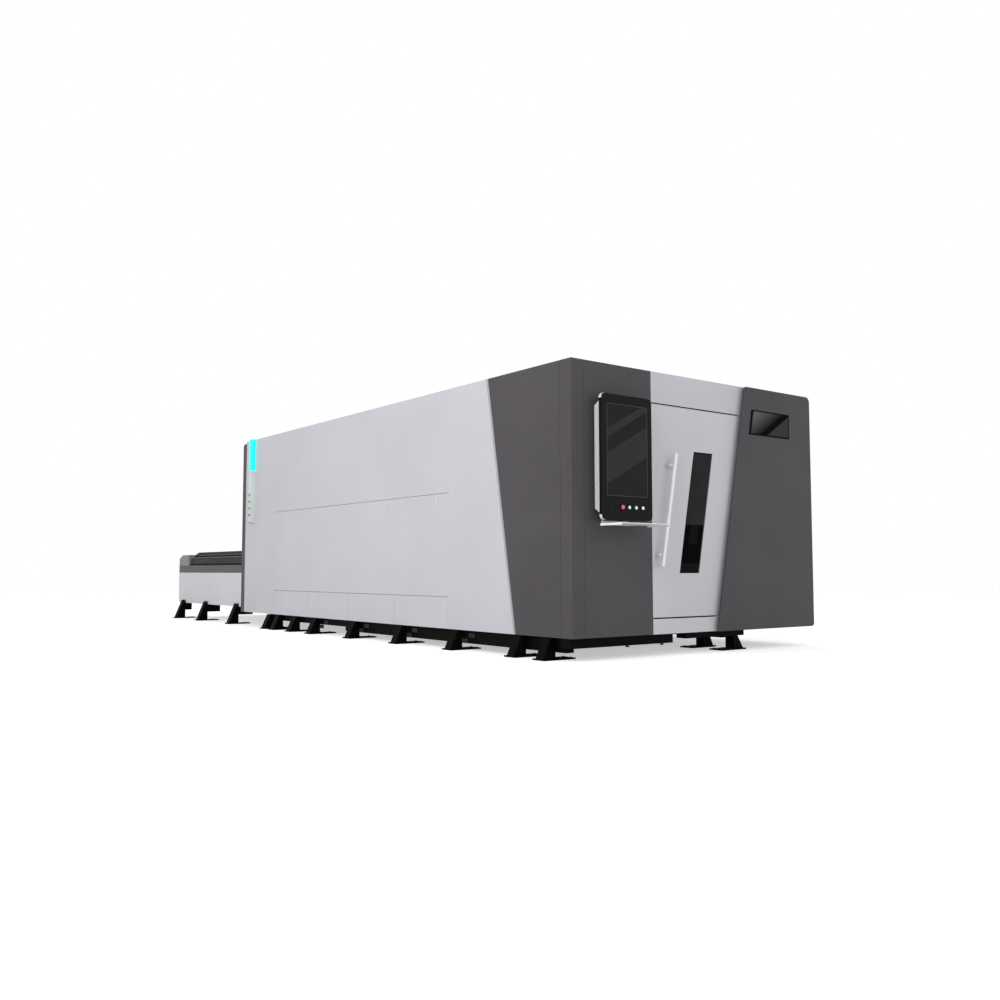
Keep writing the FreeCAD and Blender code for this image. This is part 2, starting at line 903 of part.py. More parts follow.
def front_fascia():
    body = new_body("front_fascia")
    outline = [
        ("door_left", "door_top"),
        (f"{slanted('right_edge_top', 'door_top')} + right_lap", "door_top"),
        ("right_edge_top + right_lap", "encl_height"),
        ("door_left", "encl_height"),
    ]
    pad(body, polygon(sketch(body, "y"), outline), "door_depth", "y")
    fold(body, AXES["y"])
    rib = sketch(body, "y")
    rectangle(rib, ("door_left", "roof_seat - tube + seam"), ("right_edge_top", "roof_seat - seam"))
    pad(body, rib, "panel_depth", "y")


def front_sill():
    body = new_body("front_sill")
    outline = [
        ("door_left", "skirt_height"),
        ("right_edge_foot + right_lap", "skirt_height"),
        (f"{slanted('right_edge_top', 'sill_top')} + right_lap", "sill_top"),
        ("door_left", "sill_top"),
    ]
    pad(body, polygon(sketch(body, "y"), outline), "panel_depth", "y")
    fold(body, AXES["y"])


def high_window(inset):
    """Corners of the high window, moved inwards by an inset."""
    foot, top = f"high_foot + {inset}", f"high_top - {inset}"
    foot_left = f"high_left - front_slant * (high_top - ({foot})) + {inset}"
    top_left = f"high_left - front_slant * {inset} + {inset}"
    right = f"high_right - {inset}"
    return [(foot_left, foot), (right, foot), (right, top), (top_left, top)]


def front_right_panel():
    body = new_body("front_right_panel", ("0", "-right_proud", "0"))
    shoulder = "right_top - right_bevel"
    outline = [
        ("right_edge_foot", "skirt_height"),
        ("encl_width", "skirt_height"),
        ("encl_width", "right_top"),
        (f"{slanted('right_edge_top', 'right_top')} + right_bevel", "right_top"),
        (slanted("right_edge_top", shoulder), shoulder),
    ]
    pad(body, polygon(sketch(body, "y"), outline), "right_proud", "y")
    right, foot, head = val("encl_width"), val("skirt_height"), val("right_top")
    dress(
        body, "Fillet", "right_corner_top", AXES["y"], lambda p: p.x > right - 1 and p.z > head - 1
    )
    dress(
        body, "Fillet", "right_corner_foot", AXES["y"], lambda p: p.x > right - 1 and p.z < foot + 1
    )
    lean = VECTOR(val("front_slant"), 0, 1).normalize()
    back = val("right_proud")
    dress(body, "Chamfer", "right_undercut", lean, lambda p: p.y > back - 1 and p.x < right - 100)
    low, high = "skirt_height + right_edge", "right_top - right_edge"
    hollow = [
        (f"{slanted('right_edge_top', low)} + right_fold", low),
        ("encl_width - right_edge", low),
        ("encl_width - right_edge", high),
        (f"{slanted('right_edge_top', high)} + right_fold", high),
    ]
    pocket(body, polygon(sketch(body, "y", "sheet_gauge"), hollow), "right_proud", "y")
    pocket(body, polygon(sketch(body, "y", "-1"), high_window("0")), "right_proud + 2", "y")


def high_window_frame():
    body = new_body("high_window_frame", ("0", "-right_proud - sheet_gauge", "0"))
    drawing = sketch(body, "y")
    polygon(drawing, high_window("0"))
    polygon(drawing, high_window("high_frame"))
    pad(body, drawing, "high_frame + sheet_gauge", "y")


def high_window_glass():
    body = new_body("high_window_glass", ("0", "-right_proud + glass_gauge", "0"))
    pad(body, polygon(sketch(body, "y"), high_window("high_frame")), "glass_gauge", "y")


def right_side_panel():
    body = new_body("right_side_panel")
    section = [
        ("frame_right", "skirt_height"),
        ("encl_width", "skirt_height"),
        ("encl_width", "encl_height"),
        ("frame_right - tube", "encl_height"),
        ("frame_right - tube", "roof_seat"),
        ("frame_right", "roof_seat"),
    ]
    pad(body, polygon(sketch(body, "y"), section), "side_end", "y")
    right, high = val("encl_width"), val("encl_height")
    dress(
        body, "Fillet", "right_corner_foot", AXES["y"], lambda p: p.x > right - 1 and p.z > high - 1
    )
    seams = sketch(body, "x", "encl_width - door_groove")
    for start, width in (("cabinet_start", "cabinet_width"), ("source_start", "source_width")):
        low, high_corner = (start, "skirt_height + tube"), (f"{start} + {width}", "cabinet_top")
        rectangle(seams, low, high_corner)
        rectangle(
            seams,
            (f"{start} + seam", "skirt_height + tube + seam"),
            (f"{start} + {width} - seam", "cabinet_top - seam"),
        )
    pocket(body, seams, "door_groove + 1", "x")
    louvre = sketch(body, "x", "encl_width - door_groove")
    for start, width in (("cabinet_start", "cabinet_width"), ("source_start", "source_width")):
        middle = f"{start} + {width} / 2"
        rectangle(
            louvre,
            (f"{middle} - louvre_length / 2", "louvre_foot"),
            (f"{middle} + louvre_length / 2", "louvre_foot + louvre_height"),
        )
    slot = pocket(body, louvre, "door_groove + 1", "x")
    repeat(body, [slot], "z", "(louvre_count - 1) * louvre_pitch", "louvre_count")


def roof_panel():
    body = new_body("roof_panel", ("0", "0", "roof_seat"))
    drawing = sketch(body, "z")
    rectangle(
        drawing, ("panel_depth", "panel_depth"), ("frame_right - tube - seam", "side_end")
    )
    pad(body, drawing, "panel_depth", "z")
    fold(body, VECTOR(0, 0, -1))


def rear_portal():
    body = new_body("rear_portal", ("0", "frame_rear", "0"))
    drawing = sketch(body, "y")
    rectangle(drawing, ("2", "skirt_height"), ("encl_width - 2", "encl_height - portal_drop"))
    pad(body, drawing, "portal_depth", "y")
    high = val("encl_height - portal_drop")
    dress(body, "Fillet", "portal_round", AXES["y"], lambda p: p.z > high - 1)
    way = sketch(body, "y", "-1")
    rectangle(way, ("bed_inner_left", "portal_foot"), ("bed_inner_right", "portal_top"))
    pocket(body, way, "portal_depth + 2", "y")
    fold(body, VECTOR(0, -1, 0))


# ---------------------------------------------------------------- sliding door


def door_panel():
    body = new_body("door_panel", ("0", "door_recess", "0"))
    drawing = sketch(body, "y")
    rectangle(drawing, ("door_left", "sill_top + seam"), ("door_right", "door_top - seam"))
    polygon(drawing, door_glass("0"))
    pad(body, drawing, "door_depth", "y")


def door_glass(inset):
    """Corners of the leaning door window, moved inwards by an inset."""
    foot, top = f"door_glass_foot + {inset}", f"door_glass_top - {inset}"
    foot_left = f"door_glass_left - front_slant * (door_glass_top - ({foot}))"
    top_left = f"door_glass_left - front_slant * {inset}"
    return [
        (f"{foot_left} + {inset}", foot),
        (f"{foot_left} + door_glass_width - {inset}", foot),
        (f"{top_left} + door_glass_width - {inset}", top),
        (f"{top_left} + {inset}", top),
    ]


def door_window():
    body = new_body("door_window", ("0", "door_recess + sheet_gauge", "0"))
    pad(body, polygon(sketch(body, "y"), door_glass("0.5")), "glass_gauge", "y")


def door_handle():
    bar = DOC.addObject("Part::Cylinder", "HandleBar")
    bar.Placement = FreeCAD.Placement(VECTOR(), FreeCAD.Rotation(AXES["y"], 10))
    bar.setExpression("Placement.Rotation.Angle", ex("atan(front_slant)"))
    bind(bar, Radius="handle_radius", Height="(handle_top - handle_foot) / cos(atan(front_slant))")
    bar_y = "door_recess - handle_reach + handle_radius"
    place(bar, ("handle_x - front_slant * (handle_top - handle_foot)", bar_y, "handle_foot"))
    posts = []
    for height in ("handle_top - handle_post_inset", "handle_foot + handle_post_inset"):
        at = (f"handle_x - front_slant * (handle_top - ({height}))", bar_y, height)
        posts.append(rod(at, "handle_post_radius", "handle_reach - handle_radius", "y"))
    node(weld([bar] + posts), "door_handle")


def door_hangers():
    hangers = []
    wheel_z = "rail_foot + rail_height + hanger_wheel + slide_clear"
    for centre in ("door_left + hanger_inset", "door_right - hanger_inset"):
        plate = block(
            (f"{centre} - hanger_width / 2", "door_back", "door_top - seam - hanger_drop"),
            (f"{centre} + hanger_width / 2", "door_back + hanger_plate", f"{wheel_z} + 12"),
        )
        wheel = rod(
            (centre, "door_back + hanger_plate", wheel_z), "hanger_wheel", "rail_depth + 3", "y"
        )
        hangers.append(weld([plate, wheel]))
    node(group(hangers), "door_hangers")


def door_rail():
    rail = block(
        ("front_dark_width", "header_face - rail_depth", "rail_foot"),
        ("frame_right - tube", "header_face", "rail_foot + rail_height"),
    )
    node(rail, "door_rail", ("front_dark_width", "header_face - rail_depth", "rail_foot"))


# ---------------------------------------------------------------- operator console


def console_housing():
    body = new_body("console_housing", ("console_left + housing_inset", "0", "0"))
    low, high = "console_foot + housing_end", "console_top - housing_end"
    section = [
        ("-housing_depth", low),
        ("0", f"{low} + housing_taper"),
        ("0", f"{high} - housing_taper"),
        ("-housing_depth", high),
    ]
    pad(body, polygon(sketch(body, "x"), section), "console_width - 2 * housing_inset", "x")
    dress(body, "Chamfer", "housing_chamfer", AXES["z"], lambda p: p.y > -1)


def console_bezel():
    body = new_body("console_bezel", ("0", "bezel_face", "0"))
    drawing = sketch(body, "y")
    rectangle(
        drawing, ("console_left", "console_foot"), ("console_left + console_width", "console_top")
    )
    pad(body, drawing, "bezel_depth", "y")
    dress(body, "Fillet", "bezel_round", AXES["y"], lambda p: True)
    recess = sketch(body, "y", "-1")
    rectangle(
        recess,
        ("screen_left", "screen_foot"),
        ("screen_left + screen_width", "screen_foot + screen_height"),
    )
    pocket(body, recess, "screen_gauge + 1", "y")
    bores = sketch(body, "y", "-1")
    for index in range(4):
        circle(
            bores,
            (f"button_first + {index} * button_pitch", "button_row"),
            "button_radius + button_clear",
        )
    pocket(body, bores, "bezel_depth + 2", "y")


def console_screen():
    low = ("screen_left + 0.5", "bezel_face", "screen_foot + 0.5")
    high = (
        "screen_left + screen_width - 0.5",
        "bezel_face + screen_gauge",
        "screen_foot + screen_height - 0.5",
    )
    node(block(low, high), "console_screen", low)


def console_buttons():
    for index, label in enumerate(("stop", "start", "pause", "reset")):
        at = (
            f"button_first + {index} * button_pitch",
            "bezel_face - button_proud",
            "button_row",
        )
        button = rod(at, "button_radius", "button_length", "y")
        node(button, f"{label}_button", at)


def keyboard_tray():
    body = new_body("keyboard_tray", ("0", "-tray_reach", "0"))
    left, right = "tray_left", "tray_left + tray_width"
    section = [
        (left, "tray_top - tray_lip"),
        (f"{left} + tray_gauge", "tray_top - tray_lip"),
        (f"{left} + tray_gauge", "tray_top - tray_gauge"),
        (f"{right} - tray_gauge", "tray_top - tray_gauge"),
        (f"{right} - tray_gauge", "tray_top - tray_lip"),
        (right, "tray_top - tray_lip"),
        (right, "tray_top"),
        (left, "tray_top"),
    ]
    pad(body, polygon(sketch(body, "y"), section), "tray_length", "y")
    arm = sketch(body, "z", "tray_top - tray_gauge")
    rectangle(
        arm,
        (f"{left} + tray_arm_inset", "tray_length"),
        (f"{right} - tray_arm_inset", "tray_reach"),
    )
    pad(body, arm, "tray_gauge", "z")
    tab = sketch(body, "z", "tray_top - tray_gauge")
    rectangle(
        tab,
        (f"{left} + tray_arm_inset", "tray_reach - tray_gauge"),
        (f"{right} - tray_arm_inset", "tray_reach"),
    )
    pad(body, tab, "console_foot - tray_top + tray_gauge", "z")


# ---------------------------------------------------------------- light strip


def strip_section(body):
    """Outline of the strip, seen from above: a flat face with bevelled edges."""
    section = [
        ("0", "strip_start"),
        ("0", "strip_start + strip_width"),
        ("-strip_proud", "strip_start + strip_width - strip_bevel"),
        ("-strip_proud", "strip_start + strip_bevel"),
    ]
    return polygon(sketch(body, "z"), section)


STRIP_BUTTONS = [("light_stop_button", 0), ("load_button", 1), ("swap_button", 2), ("lift_button", 3)]


def light_strip():
    housing = new_body("strip_housing", ("0", "0", "strip_foot"))
    pad(housing, strip_section(housing), "strip_lens_foot - strip_foot", "z")
    wells = sketch(housing, "x", "-strip_proud - 1")
    reach = "(strip_button_half + button_clear)"
    for _, index in STRIP_BUTTONS:
        height = f"strip_button_foot + {index} * strip_button_pitch - strip_foot"
        rectangle(
            wells,
            (f"strip_button_y - {reach}", f"{height} - {reach}"),
            (f"strip_button_y + {reach}", f"{height} + {reach}"),
        )
    pocket(housing, wells, "strip_button_bore + 1", "x")
    lens = new_body("strip_lens", ("0", "0", "strip_lens_foot"))
    pad(lens, strip_section(lens), "encl_height - strip_lens_foot", "z")


def strip_buttons():
    for label, index in STRIP_BUTTONS:
        height = f"strip_button_foot + {index} * strip_button_pitch"
        low = (
            "-strip_proud - strip_button_proud",
            "strip_button_y - strip_button_half",
            f"{height} - strip_button_half",
        )
        high = (
            "strip_button_bore - strip_proud - strip_button_travel",
            "strip_button_y + strip_button_half",
            f"{height} + strip_button_half",
        )
        node(block(low, high), label, low)


# ---------------------------------------------------------------- slag drawers


def slag_drawer(index):
    body = new_body(
        f"slag_drawer_{index + 1}",
        ("0", f"bay_start + bay_pitch * ({index} + 0.5)", "0"),
    )
    base = "floor_top + drawer_clear"
    shell = sketch(body, "z", base)
    rectangle(shell, ("drawer_front", "-drawer_half"), ("drawer_depth", "drawer_half"))
    pad(body, shell, "drawer_box_height", "z")
    hollow = sketch(body, "z", f"{base} + sheet_gauge")
    rectangle(
        hollow,
        ("drawer_front + sheet_gauge", "-drawer_half + sheet_gauge"),
        ("drawer_depth - sheet_gauge", "drawer_half - sheet_gauge"),
    )
    pocket(body, hollow, "drawer_box_height", "z")
    face = sketch(body, "x")
    rectangle(
        face,
        ("-(bay_pitch - seam) / 2", "skirt_height"),
        ("(bay_pitch - seam) / 2", "drawer_top - seam"),
    )
    pad(body, face, "drawer_front", "x")


# ---------------------------------------------------------------- pallets


def pallet_frame(label, y_start, level):
    """Two side channels on rollers, cross tubes between them, and strips that seat the slats."""
    inner = "pallet_half - pallet_side"
    members = []
    for index in range(int(val("crossbar_count"))):
        low = f"(pallet_length - crossbar_width) * {index} / (crossbar_count - 1)"
        members.append(
            block((f"-({inner})", low, "0"), (inner, f"{low} + crossbar_width", "ledge_height"))
        )
    strips = [(f"{inner} - ledge_width", inner)]
    strips.append(("stringer_offset - stringer_width / 2", "stringer_offset + stringer_width / 2"))
    comb = f"{inner} + comb_inset"
    for side in (-1, 1):
        for near, far, foot, top in (
            (inner, "pallet_half", "0", "pallet_height"),
            (comb, f"{comb} + comb_width", "pallet_height", "pallet_height + comb_height"),
            (*strips[0], "ledge_height", "slat_foot"),
            (*strips[1], "ledge_height", "slat_foot"),
        ):
            low, high = (f"{side} * ({near})", f"{side} * ({far})")[::side]
            members.append(block((low, "0", foot), (high, "pallet_length", top)))
        for index in range(int(val("roller_count"))):
            along = f"pallet_length * ({index} + 0.5) / roller_count"
            start = "pallet_half" if side > 0 else "-(pallet_half + roller_width)"
            members.append(rod((start, along, "roller_rise"), "roller_radius", "roller_width", "x"))
    node(group(members), label, ("line_x", y_start, level))


def slat_outline():
    """A support slat: square foot, sloped shoulders and a saw-toothed top."""
    inner = "slat_half - slat_ramp"
    corners = [("-slat_half", "slat_foot"), ("slat_half", "slat_foot"), ("slat_half", "slat_shoulder")]
    teeth = int(val("slat_teeth"))
    for index in range(teeth + 1):
        peak = f"({inner}) * (1 - 2 * {index} / slat_teeth)"
        corners.append((peak, "slat_top"))
        if index < teeth:
            valley = f"({inner}) * (1 - (2 * {index} + 1) / slat_teeth)"
            corners.append((valley, "slat_top - slat_tooth_depth"))
    corners.append(("-slat_half", "slat_shoulder"))
    return corners


def pallet_slats(label, y_start, level):
    body = DOC.addObject("PartDesign::Body", label)
    body.AllowCompound = True
    node(body, label, ("line_x", y_start, level))
    slat = pad(body, polygon(sketch(body, "y", "slat_first"), slat_outline()), "slat_gauge", "y")
    repeat(body, [slat], "y", "pallet_length - 2 * slat_first - slat_gauge", "slat_count")


# ---------------------------------------------------------------- exchange table


def table_frame():
    beams = []
    lower_in = "half_clear"
    lower_out = "line_x - table_inset - table_skin"
    beams += mirrored_blocks(
        "half_clear",
        "line_x - table_inset",
        ("table_start", "table_panel_top"),
        ("table_end", "table_beam_top"),
    )
    beams += mirrored_blocks(
        lower_in,
        lower_out,
        ("table_start", "table_foot"),
        ("table_end - table_skin", "table_foot + table_beam_low"),
    )
    for y_centre in TABLE_FEET_Y:
        beams += mirrored_blocks(
            lower_in,
            lower_out,
            (f"{y_centre} - tube / 2", "table_foot + table_beam_low"),
            (f"{y_centre} + tube / 2", "table_panel_top"),
        )
    for y_centre in TABLE_FEET_Y[:-1]:
        beams.append(
            block(
                ("line_x - half_clear", f"{y_centre} - tube / 2", "table_foot"),
                ("line_x + half_clear", f"{y_centre} + tube / 2", "table_foot + table_beam_low"),
            )
        )
    beams.append(
        block(
            ("line_x - half_clear", "table_end - cap_wall", "table_panel_top"),
            ("line_x + half_clear", "table_end", "table_beam_top"),
        )
    )
    beams.append(
        block(
            ("line_x - half_clear", "drive_y", "table_foot"),
            ("line_x + half_clear", "drive_y + drive_length", "table_foot + table_beam_low"),
        )
    )
    node(group(beams), "table_frame")


def table_side_panels():
    panels = []
    for index, left in enumerate(("table_inset", "table_right - table_skin")):
        form = DOC.addObject("PartDesign::Body", f"TableSide{index}")
        drawing = sketch(form, "x", left)
        rectangle(drawing, ("table_start", "table_foot"), ("table_end", "table_panel_top"))
        pad(form, drawing, "table_skin", "x")
        rear, foot = val("table_end"), val("table_foot")
        dress(
            form, "Fillet", "table_round", AXES["x"], lambda p: p.y > rear - 1 and p.z < foot + 1
        )
        panels.append(form)
    panels.append(
        block(
            ("table_inset + table_skin", "table_end - table_skin", "table_foot + table_round"),
            ("table_right - table_skin", "table_end", "table_panel_top"),
        )
    )
    node(group(panels), "table_side_panels")


def table_end_cap():
    body = new_body("table_end_cap")
    plan = [
        ("table_inset", "table_end - cap_length"),
        ("line_x - half_clear", "table_end - cap_length"),
        ("line_x - half_clear", "table_end - cap_wall"),
        ("line_x + half_clear", "table_end - cap_wall"),
        ("line_x + half_clear", "table_end - cap_length"),
        ("table_right", "table_end - cap_length"),
        ("table_right", "table_end"),
        ("table_inset", "table_end"),
    ]
    drawing = polygon(sketch(body, "z", "table_beam_top"), plan)
    pad(body, drawing, "cap_top - table_beam_top", "z")
    bevel = [
        ("table_end - cap_bevel_length", "cap_top"),
        ("table_end", "cap_top"),
        ("table_end", "cap_top - cap_bevel_drop"),
    ]
    pocket(body, polygon(sketch(body, "x"), bevel), "table_right", "x")


def table_feet():
    """Leaning legs with a round head, a foot plate and an arm under the table's lower beam."""
    feet = []
    root = "line_x - table_inset"
    for side in (-1, 1):
        for index, y_centre in enumerate(TABLE_FEET_Y, 1):
            upright = leg(
                side,
                root,
                "table_foot_width",
                "table_foot_width + table_foot_spread",
                "foot_plate",
                "table_foot_top",
                y_centre,
            )
            crown = rod(
                (
                    f"line_x + {side} * ({root} + table_foot_width / 2)",
                    f"{y_centre} - foot_length / 2",
                    "table_foot_top",
                ),
                "table_foot_width / 2",
                "foot_length",
                "y",
            )
            plate = foot_plate(
                side,
                f"{root} - table_foot_inner",
                f"{root} + table_foot_width + table_foot_spread + foot_plate_lip",
                y_centre,
            )
            ends = (f"line_x + {side} * ({root})", f"line_x + {side} * ({root} - arm_length_{index})")
            arm = block(
                (ends[::side][-1], f"{y_centre} - tube / 2", "arm_foot"),
                (ends[::side][0], f"{y_centre} + tube / 2", "table_foot"),
            )
            feet.append(weld([upright, crown, plate, arm]))
    node(group(feet), "table_feet")


def exchange_drive():
    foot = "table_foot + table_beam_low"
    split = "line_x + drive_width / 2 - motor_height"
    gearbox = block(
        ("line_x - drive_width / 2", "drive_y", foot),
        (split, "drive_y + drive_length", f"{foot} + drive_height"),
    )
    motor = block(
        (split, "drive_y + (drive_length - motor_size) / 2", f"{foot} + (drive_height - motor_size) / 2"),
        (
            "line_x + drive_width / 2",
            "drive_y + (drive_length + motor_size) / 2",
            f"{foot} + (drive_height + motor_size) / 2",
        ),
    )
    node(weld([gearbox, motor]), "exchange_drive")


# ---------------------------------------------------------------- gantry and cutting head


def gantry_beam():
    body = new_body("gantry_beam", ("gantry_left", "gantry_start", "gantry_foot"))
    drawing = sketch(body, "x")
    rectangle(drawing, ("0", "0"), ("gantry_depth", "gantry_height"))
    cells = ("gantry_wall", "gantry_height / 2 + gantry_wall / 2")
    for foot in cells:
        rectangle(
            drawing,
            ("gantry_wall", foot),
            ("gantry_depth - gantry_wall", f"{foot} + gantry_height / 2 - 1.5 * gantry_wall"),
        )
    pad(body, drawing, "2 * (line_x - gantry_left)", "x")


def gantry_trucks():
    trucks = []
    for side in (-1, 1):
        centre = f"line_x + {side} * (half_clear + bed_beam - guide_inset)"
        middle = "gantry_start + gantry_depth / 2"
        plate = block(
            (f"{centre} - truck_width / 2", f"{middle} - truck_length / 2", "truck_foot"),
            (f"{centre} + truck_width / 2", f"{middle} + truck_length / 2", "gantry_foot"),
        )
        solids = [plate]
        for start in (
            f"{middle} - truck_length / 2",
            f"{middle} + truck_length / 2 - block_length",
        ):
            bearing = block(
                (f"{centre} - block_width / 2", start, "truck_foot - block_drop"),
                (f"{centre} + block_width / 2", f"{start} + block_length", "truck_foot"),
            )
            solids.append(bearing)
        groove = block(
            (
                f"{centre} - guide_width / 2 - slide_clear",
                f"{middle} - truck_length",
                "bed_top",
            ),
            (
                f"{centre} + guide_width / 2 + slide_clear",
                f"{middle} + truck_length",
                "guide_top + slide_clear",
            ),
        )
        motor_y = f"{middle} + truck_length / 2 - motor_size - 4"
        solids.append(
            block(
                (f"{centre} - motor_size / 2", motor_y, "gantry_foot"),
                (
                    f"{centre} + motor_size / 2",
                    f"{motor_y} + motor_size",
                    "gantry_foot + motor_height",
                ),
            )
        )
        trucks.append(cut(weld(solids), groove))
    node(group(trucks), "gantry_trucks")


def beam_rails():
    rails = []
    for height in (
        "gantry_foot + beam_rail_edge",
        "gantry_foot + gantry_height - beam_rail_edge",
    ):
        rails.append(
            block(
                (
                    "gantry_left + bed_beam / 2",
                    "gantry_start - beam_rail_depth",
                    f"{height} - beam_rail_width / 2",
                ),
                (
                    "2 * line_x - gantry_left - bed_beam / 2",
                    "gantry_start",
                    f"{height} + beam_rail_width / 2",
                ),
            )
        )
    node(group(rails), "beam_rails")


def carriage():
    plate = block(
        (
            "carriage_start - carriage_width / 2",
            "slide_face - carriage_depth",
            "carriage_foot",
        ),
        (
            "carriage_start + carriage_width / 2",
            "slide_face",
            "carriage_foot + carriage_height",
        ),
    )
    motor = block(
        (
            "carriage_start - carriage_motor / 2",
            "slide_face - carriage_depth",
            "carriage_foot + carriage_height",
        ),
        (
            "carriage_start + carriage_motor / 2",
            "slide_face + carriage_motor - carriage_depth",
            "carriage_foot + carriage_height + motor_height",
        ),
    )
    node(weld([plate, motor]), "carriage")


def head_slide():
    low = ("carriage_start - head_slide_width / 2", "head_face - head_slide_depth", "head_slide_foot")
    high = (
        "carriage_start + head_slide_width / 2",
        "head_face",
        "head_slide_foot + head_slide_height",
    )
    node(block(low, high), "head_slide", low)


def cutting_head():
    body = new_body("cutting_head", ("carriage_start", "head_y", "0"))
    profile = sketch(body, "y")
    outline = [
        ("0", "nozzle_tip"),
        ("nozzle_radius", "nozzle_tip"),
        ("head_neck", "head_foot - head_cone"),
        ("head_radius", "head_foot"),
        ("0", "head_foot"),
    ]
    polygon(profile, outline)
    turned = body.newObject("PartDesign::Revolution", "NozzleTurned")
    turned.Profile = profile
    turned.ReferenceAxis = (origin_part(body, "Z_Axis"), [""])
    turned.Angle = 360
    DOC.recompute()
    optics = sketch(body, "z", "head_foot")
    chamfer, side = "head_chamfer", "head_radius"
    corners = [
        (f"-{side} + {chamfer}", f"-{side}"),
        (f"{side} - {chamfer}", f"-{side}"),
        (side, f"-{side} + {chamfer}"),
        (side, side),
        (f"-{side}", side),
        (f"-{side}", f"-{side} + {chamfer}"),
    ]
    pad(body, polygon(optics, corners), "head_length", "z")


# ---------------------------------------------------------------- service zone


def cabinet(label, start, width, height):
    body = new_body(label, ("cabinet_left", start, "skirt_height + tube"))
    drawing = sketch(body, "z")
    rectangle(drawing, ("0", "0"), ("cabinet_depth", width))
    pad(body, drawing, height, "z")
    groove = sketch(body, "x", "cabinet_depth - door_groove")
    rectangle(groove, ("seam * 10", "seam * 10"), (f"{width} - seam * 10", f"{height} - seam * 10"))
    rectangle(groove, ("seam * 12", "seam * 12"), (f"{width} - seam * 12", f"{height} - seam * 12"))
    pocket(body, groove, "door_groove + 1", "x")


# ---------------------------------------------------------------- the whole machine


def build():
    bed_frame()
    guide_rails()
    gear_racks()
    pallet_rails()
    underframe()
    machine_feet()
    enclosure_frame()
    left_side_panel()
    side_service_cover()
    left_front_panel()
    front_corner_post()
    front_left_panel()
    front_fascia()
    front_sill()
    front_right_panel()
    high_window_frame()
    high_window_glass()
    right_side_panel()
    roof_panel()
    rear_portal()
    door_rail()
    door_panel()
    door_window()
    door_handle()
    door_hangers()
    console_housing()
    console_bezel()
    console_screen()
    console_buttons()
    keyboard_tray()
    light_strip()
    strip_buttons()
    for index in range(int(val("bay_count"))):
        slag_drawer(index)
    pallet_frame("upper_pallet_frame", "pallet_outside", "pallet_level")
    pallet_slats("upper_pallet_slats", "pallet_outside", "pallet_level")
    pallet_frame("lower_pallet_frame", "pallet_inside", "pallet_level - pallet_pitch")
    pallet_slats("lower_pallet_slats", "pallet_inside", "pallet_level - pallet_pitch")
    table_frame()
    table_side_panels()
    table_end_cap()
    table_feet()
    exchange_drive()
    gantry_beam()
    gantry_trucks()
    beam_rails()
    carriage()
    head_slide()
    cutting_head()
    cabinet("control_cabinet", "cabinet_start", "cabinet_width", "cabinet_height")
    cabinet("laser_source", "source_start", "source_width", "source_height")


def check():
    """Stop if an object has failed, or a sub-part has no valid solid."""
    for obj in DOC.Objects:
        if {"Invalid", "Error"} & set(obj.State):
            raise RuntimeError(f"{obj.Name} ({obj.Label}) is {obj.State}")
    for obj in NODES:
        if obj.Shape.isNull() or not obj.Shape.isValid() or not obj.Shape.Solids:
            raise RuntimeError(f"{obj.Label} has no valid solid")


def export():
    os.makedirs("parts", exist_ok=True)
    for obj in NODES:
        obj.Shape.exportStep(f"parts/{obj.Label}.step")
    print(f"{len(NODES)} nodes written")


fill_sheet()
build()
DOC.recompute()
check()
export()
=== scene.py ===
"""Looks for a sheet-metal laser cutting machine with an exchange table.

Every length below is in millimetres in the corner frame of the machine: its
origin is the floor point under the near vertical edge, X runs right along the
front, Y runs back along the left side and Z is up. at() turns a point of that
frame into the row frame, in metres.
"""
import math

import bmesh
import bpy
from mathutils import Matrix, Vector


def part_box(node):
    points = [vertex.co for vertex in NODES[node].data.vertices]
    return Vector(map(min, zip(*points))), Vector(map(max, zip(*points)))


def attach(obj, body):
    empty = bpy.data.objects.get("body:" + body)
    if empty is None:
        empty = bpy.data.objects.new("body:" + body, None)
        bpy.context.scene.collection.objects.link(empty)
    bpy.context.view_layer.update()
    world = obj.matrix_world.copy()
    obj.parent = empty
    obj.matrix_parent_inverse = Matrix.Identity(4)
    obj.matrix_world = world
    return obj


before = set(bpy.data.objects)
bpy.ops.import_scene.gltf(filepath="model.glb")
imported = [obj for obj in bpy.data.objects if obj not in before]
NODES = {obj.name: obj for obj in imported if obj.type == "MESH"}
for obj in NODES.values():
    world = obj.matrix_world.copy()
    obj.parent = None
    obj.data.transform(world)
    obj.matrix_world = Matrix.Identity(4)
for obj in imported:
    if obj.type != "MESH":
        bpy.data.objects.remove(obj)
for spare in ("Cube", "Light", "Camera"):
    if spare in bpy.data.objects:
        bpy.data.objects.remove(bpy.data.objects[spare])
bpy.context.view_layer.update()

MM = 0.001
CENTRE_X, CENTRE_Y = 1392.5, 4166.5     # middle of the machine's box
SLANT = 0.19                            # lean of the door, the windows and the handle
HANDLE_X = 1060.0                       # the handle's axis at its top
HANDLE_TOP = 1597.0
HANDLE_FOOT = 700.0
HANDLE_INSET = 92.0                     # from the handle's ends to its brackets
HANDLE_RADIUS = 16.5
LEFT_FEET = (292, 643, 1506, 2394, 3277, 4129, 4612, 5045, 5285)
RIGHT_FEET = (109, 437) + LEFT_FEET[2:]
TABLE_FEET = (6506, 7569, 8425)


def at(x, y, z):
    """The row-frame point of a corner-frame point."""
    return Vector(((x - CENTRE_X) * MM, (y - CENTRE_Y) * MM, z * MM))


def corners(name):
    """A node's lowest and highest corners, in the corner frame."""
    low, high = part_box(name)
    shift = Vector((CENTRE_X, CENTRE_Y, 0))
    return low / MM + shift, high / MM + shift


# ---------------------------------------------------------------- node trees


def feed(tree, socket, value):
    """Links another node's output to an input, or sets the input's own value."""
    if isinstance(value, bpy.types.NodeSocket):
        tree.links.new(value, socket)
    else:
        socket.default_value = value


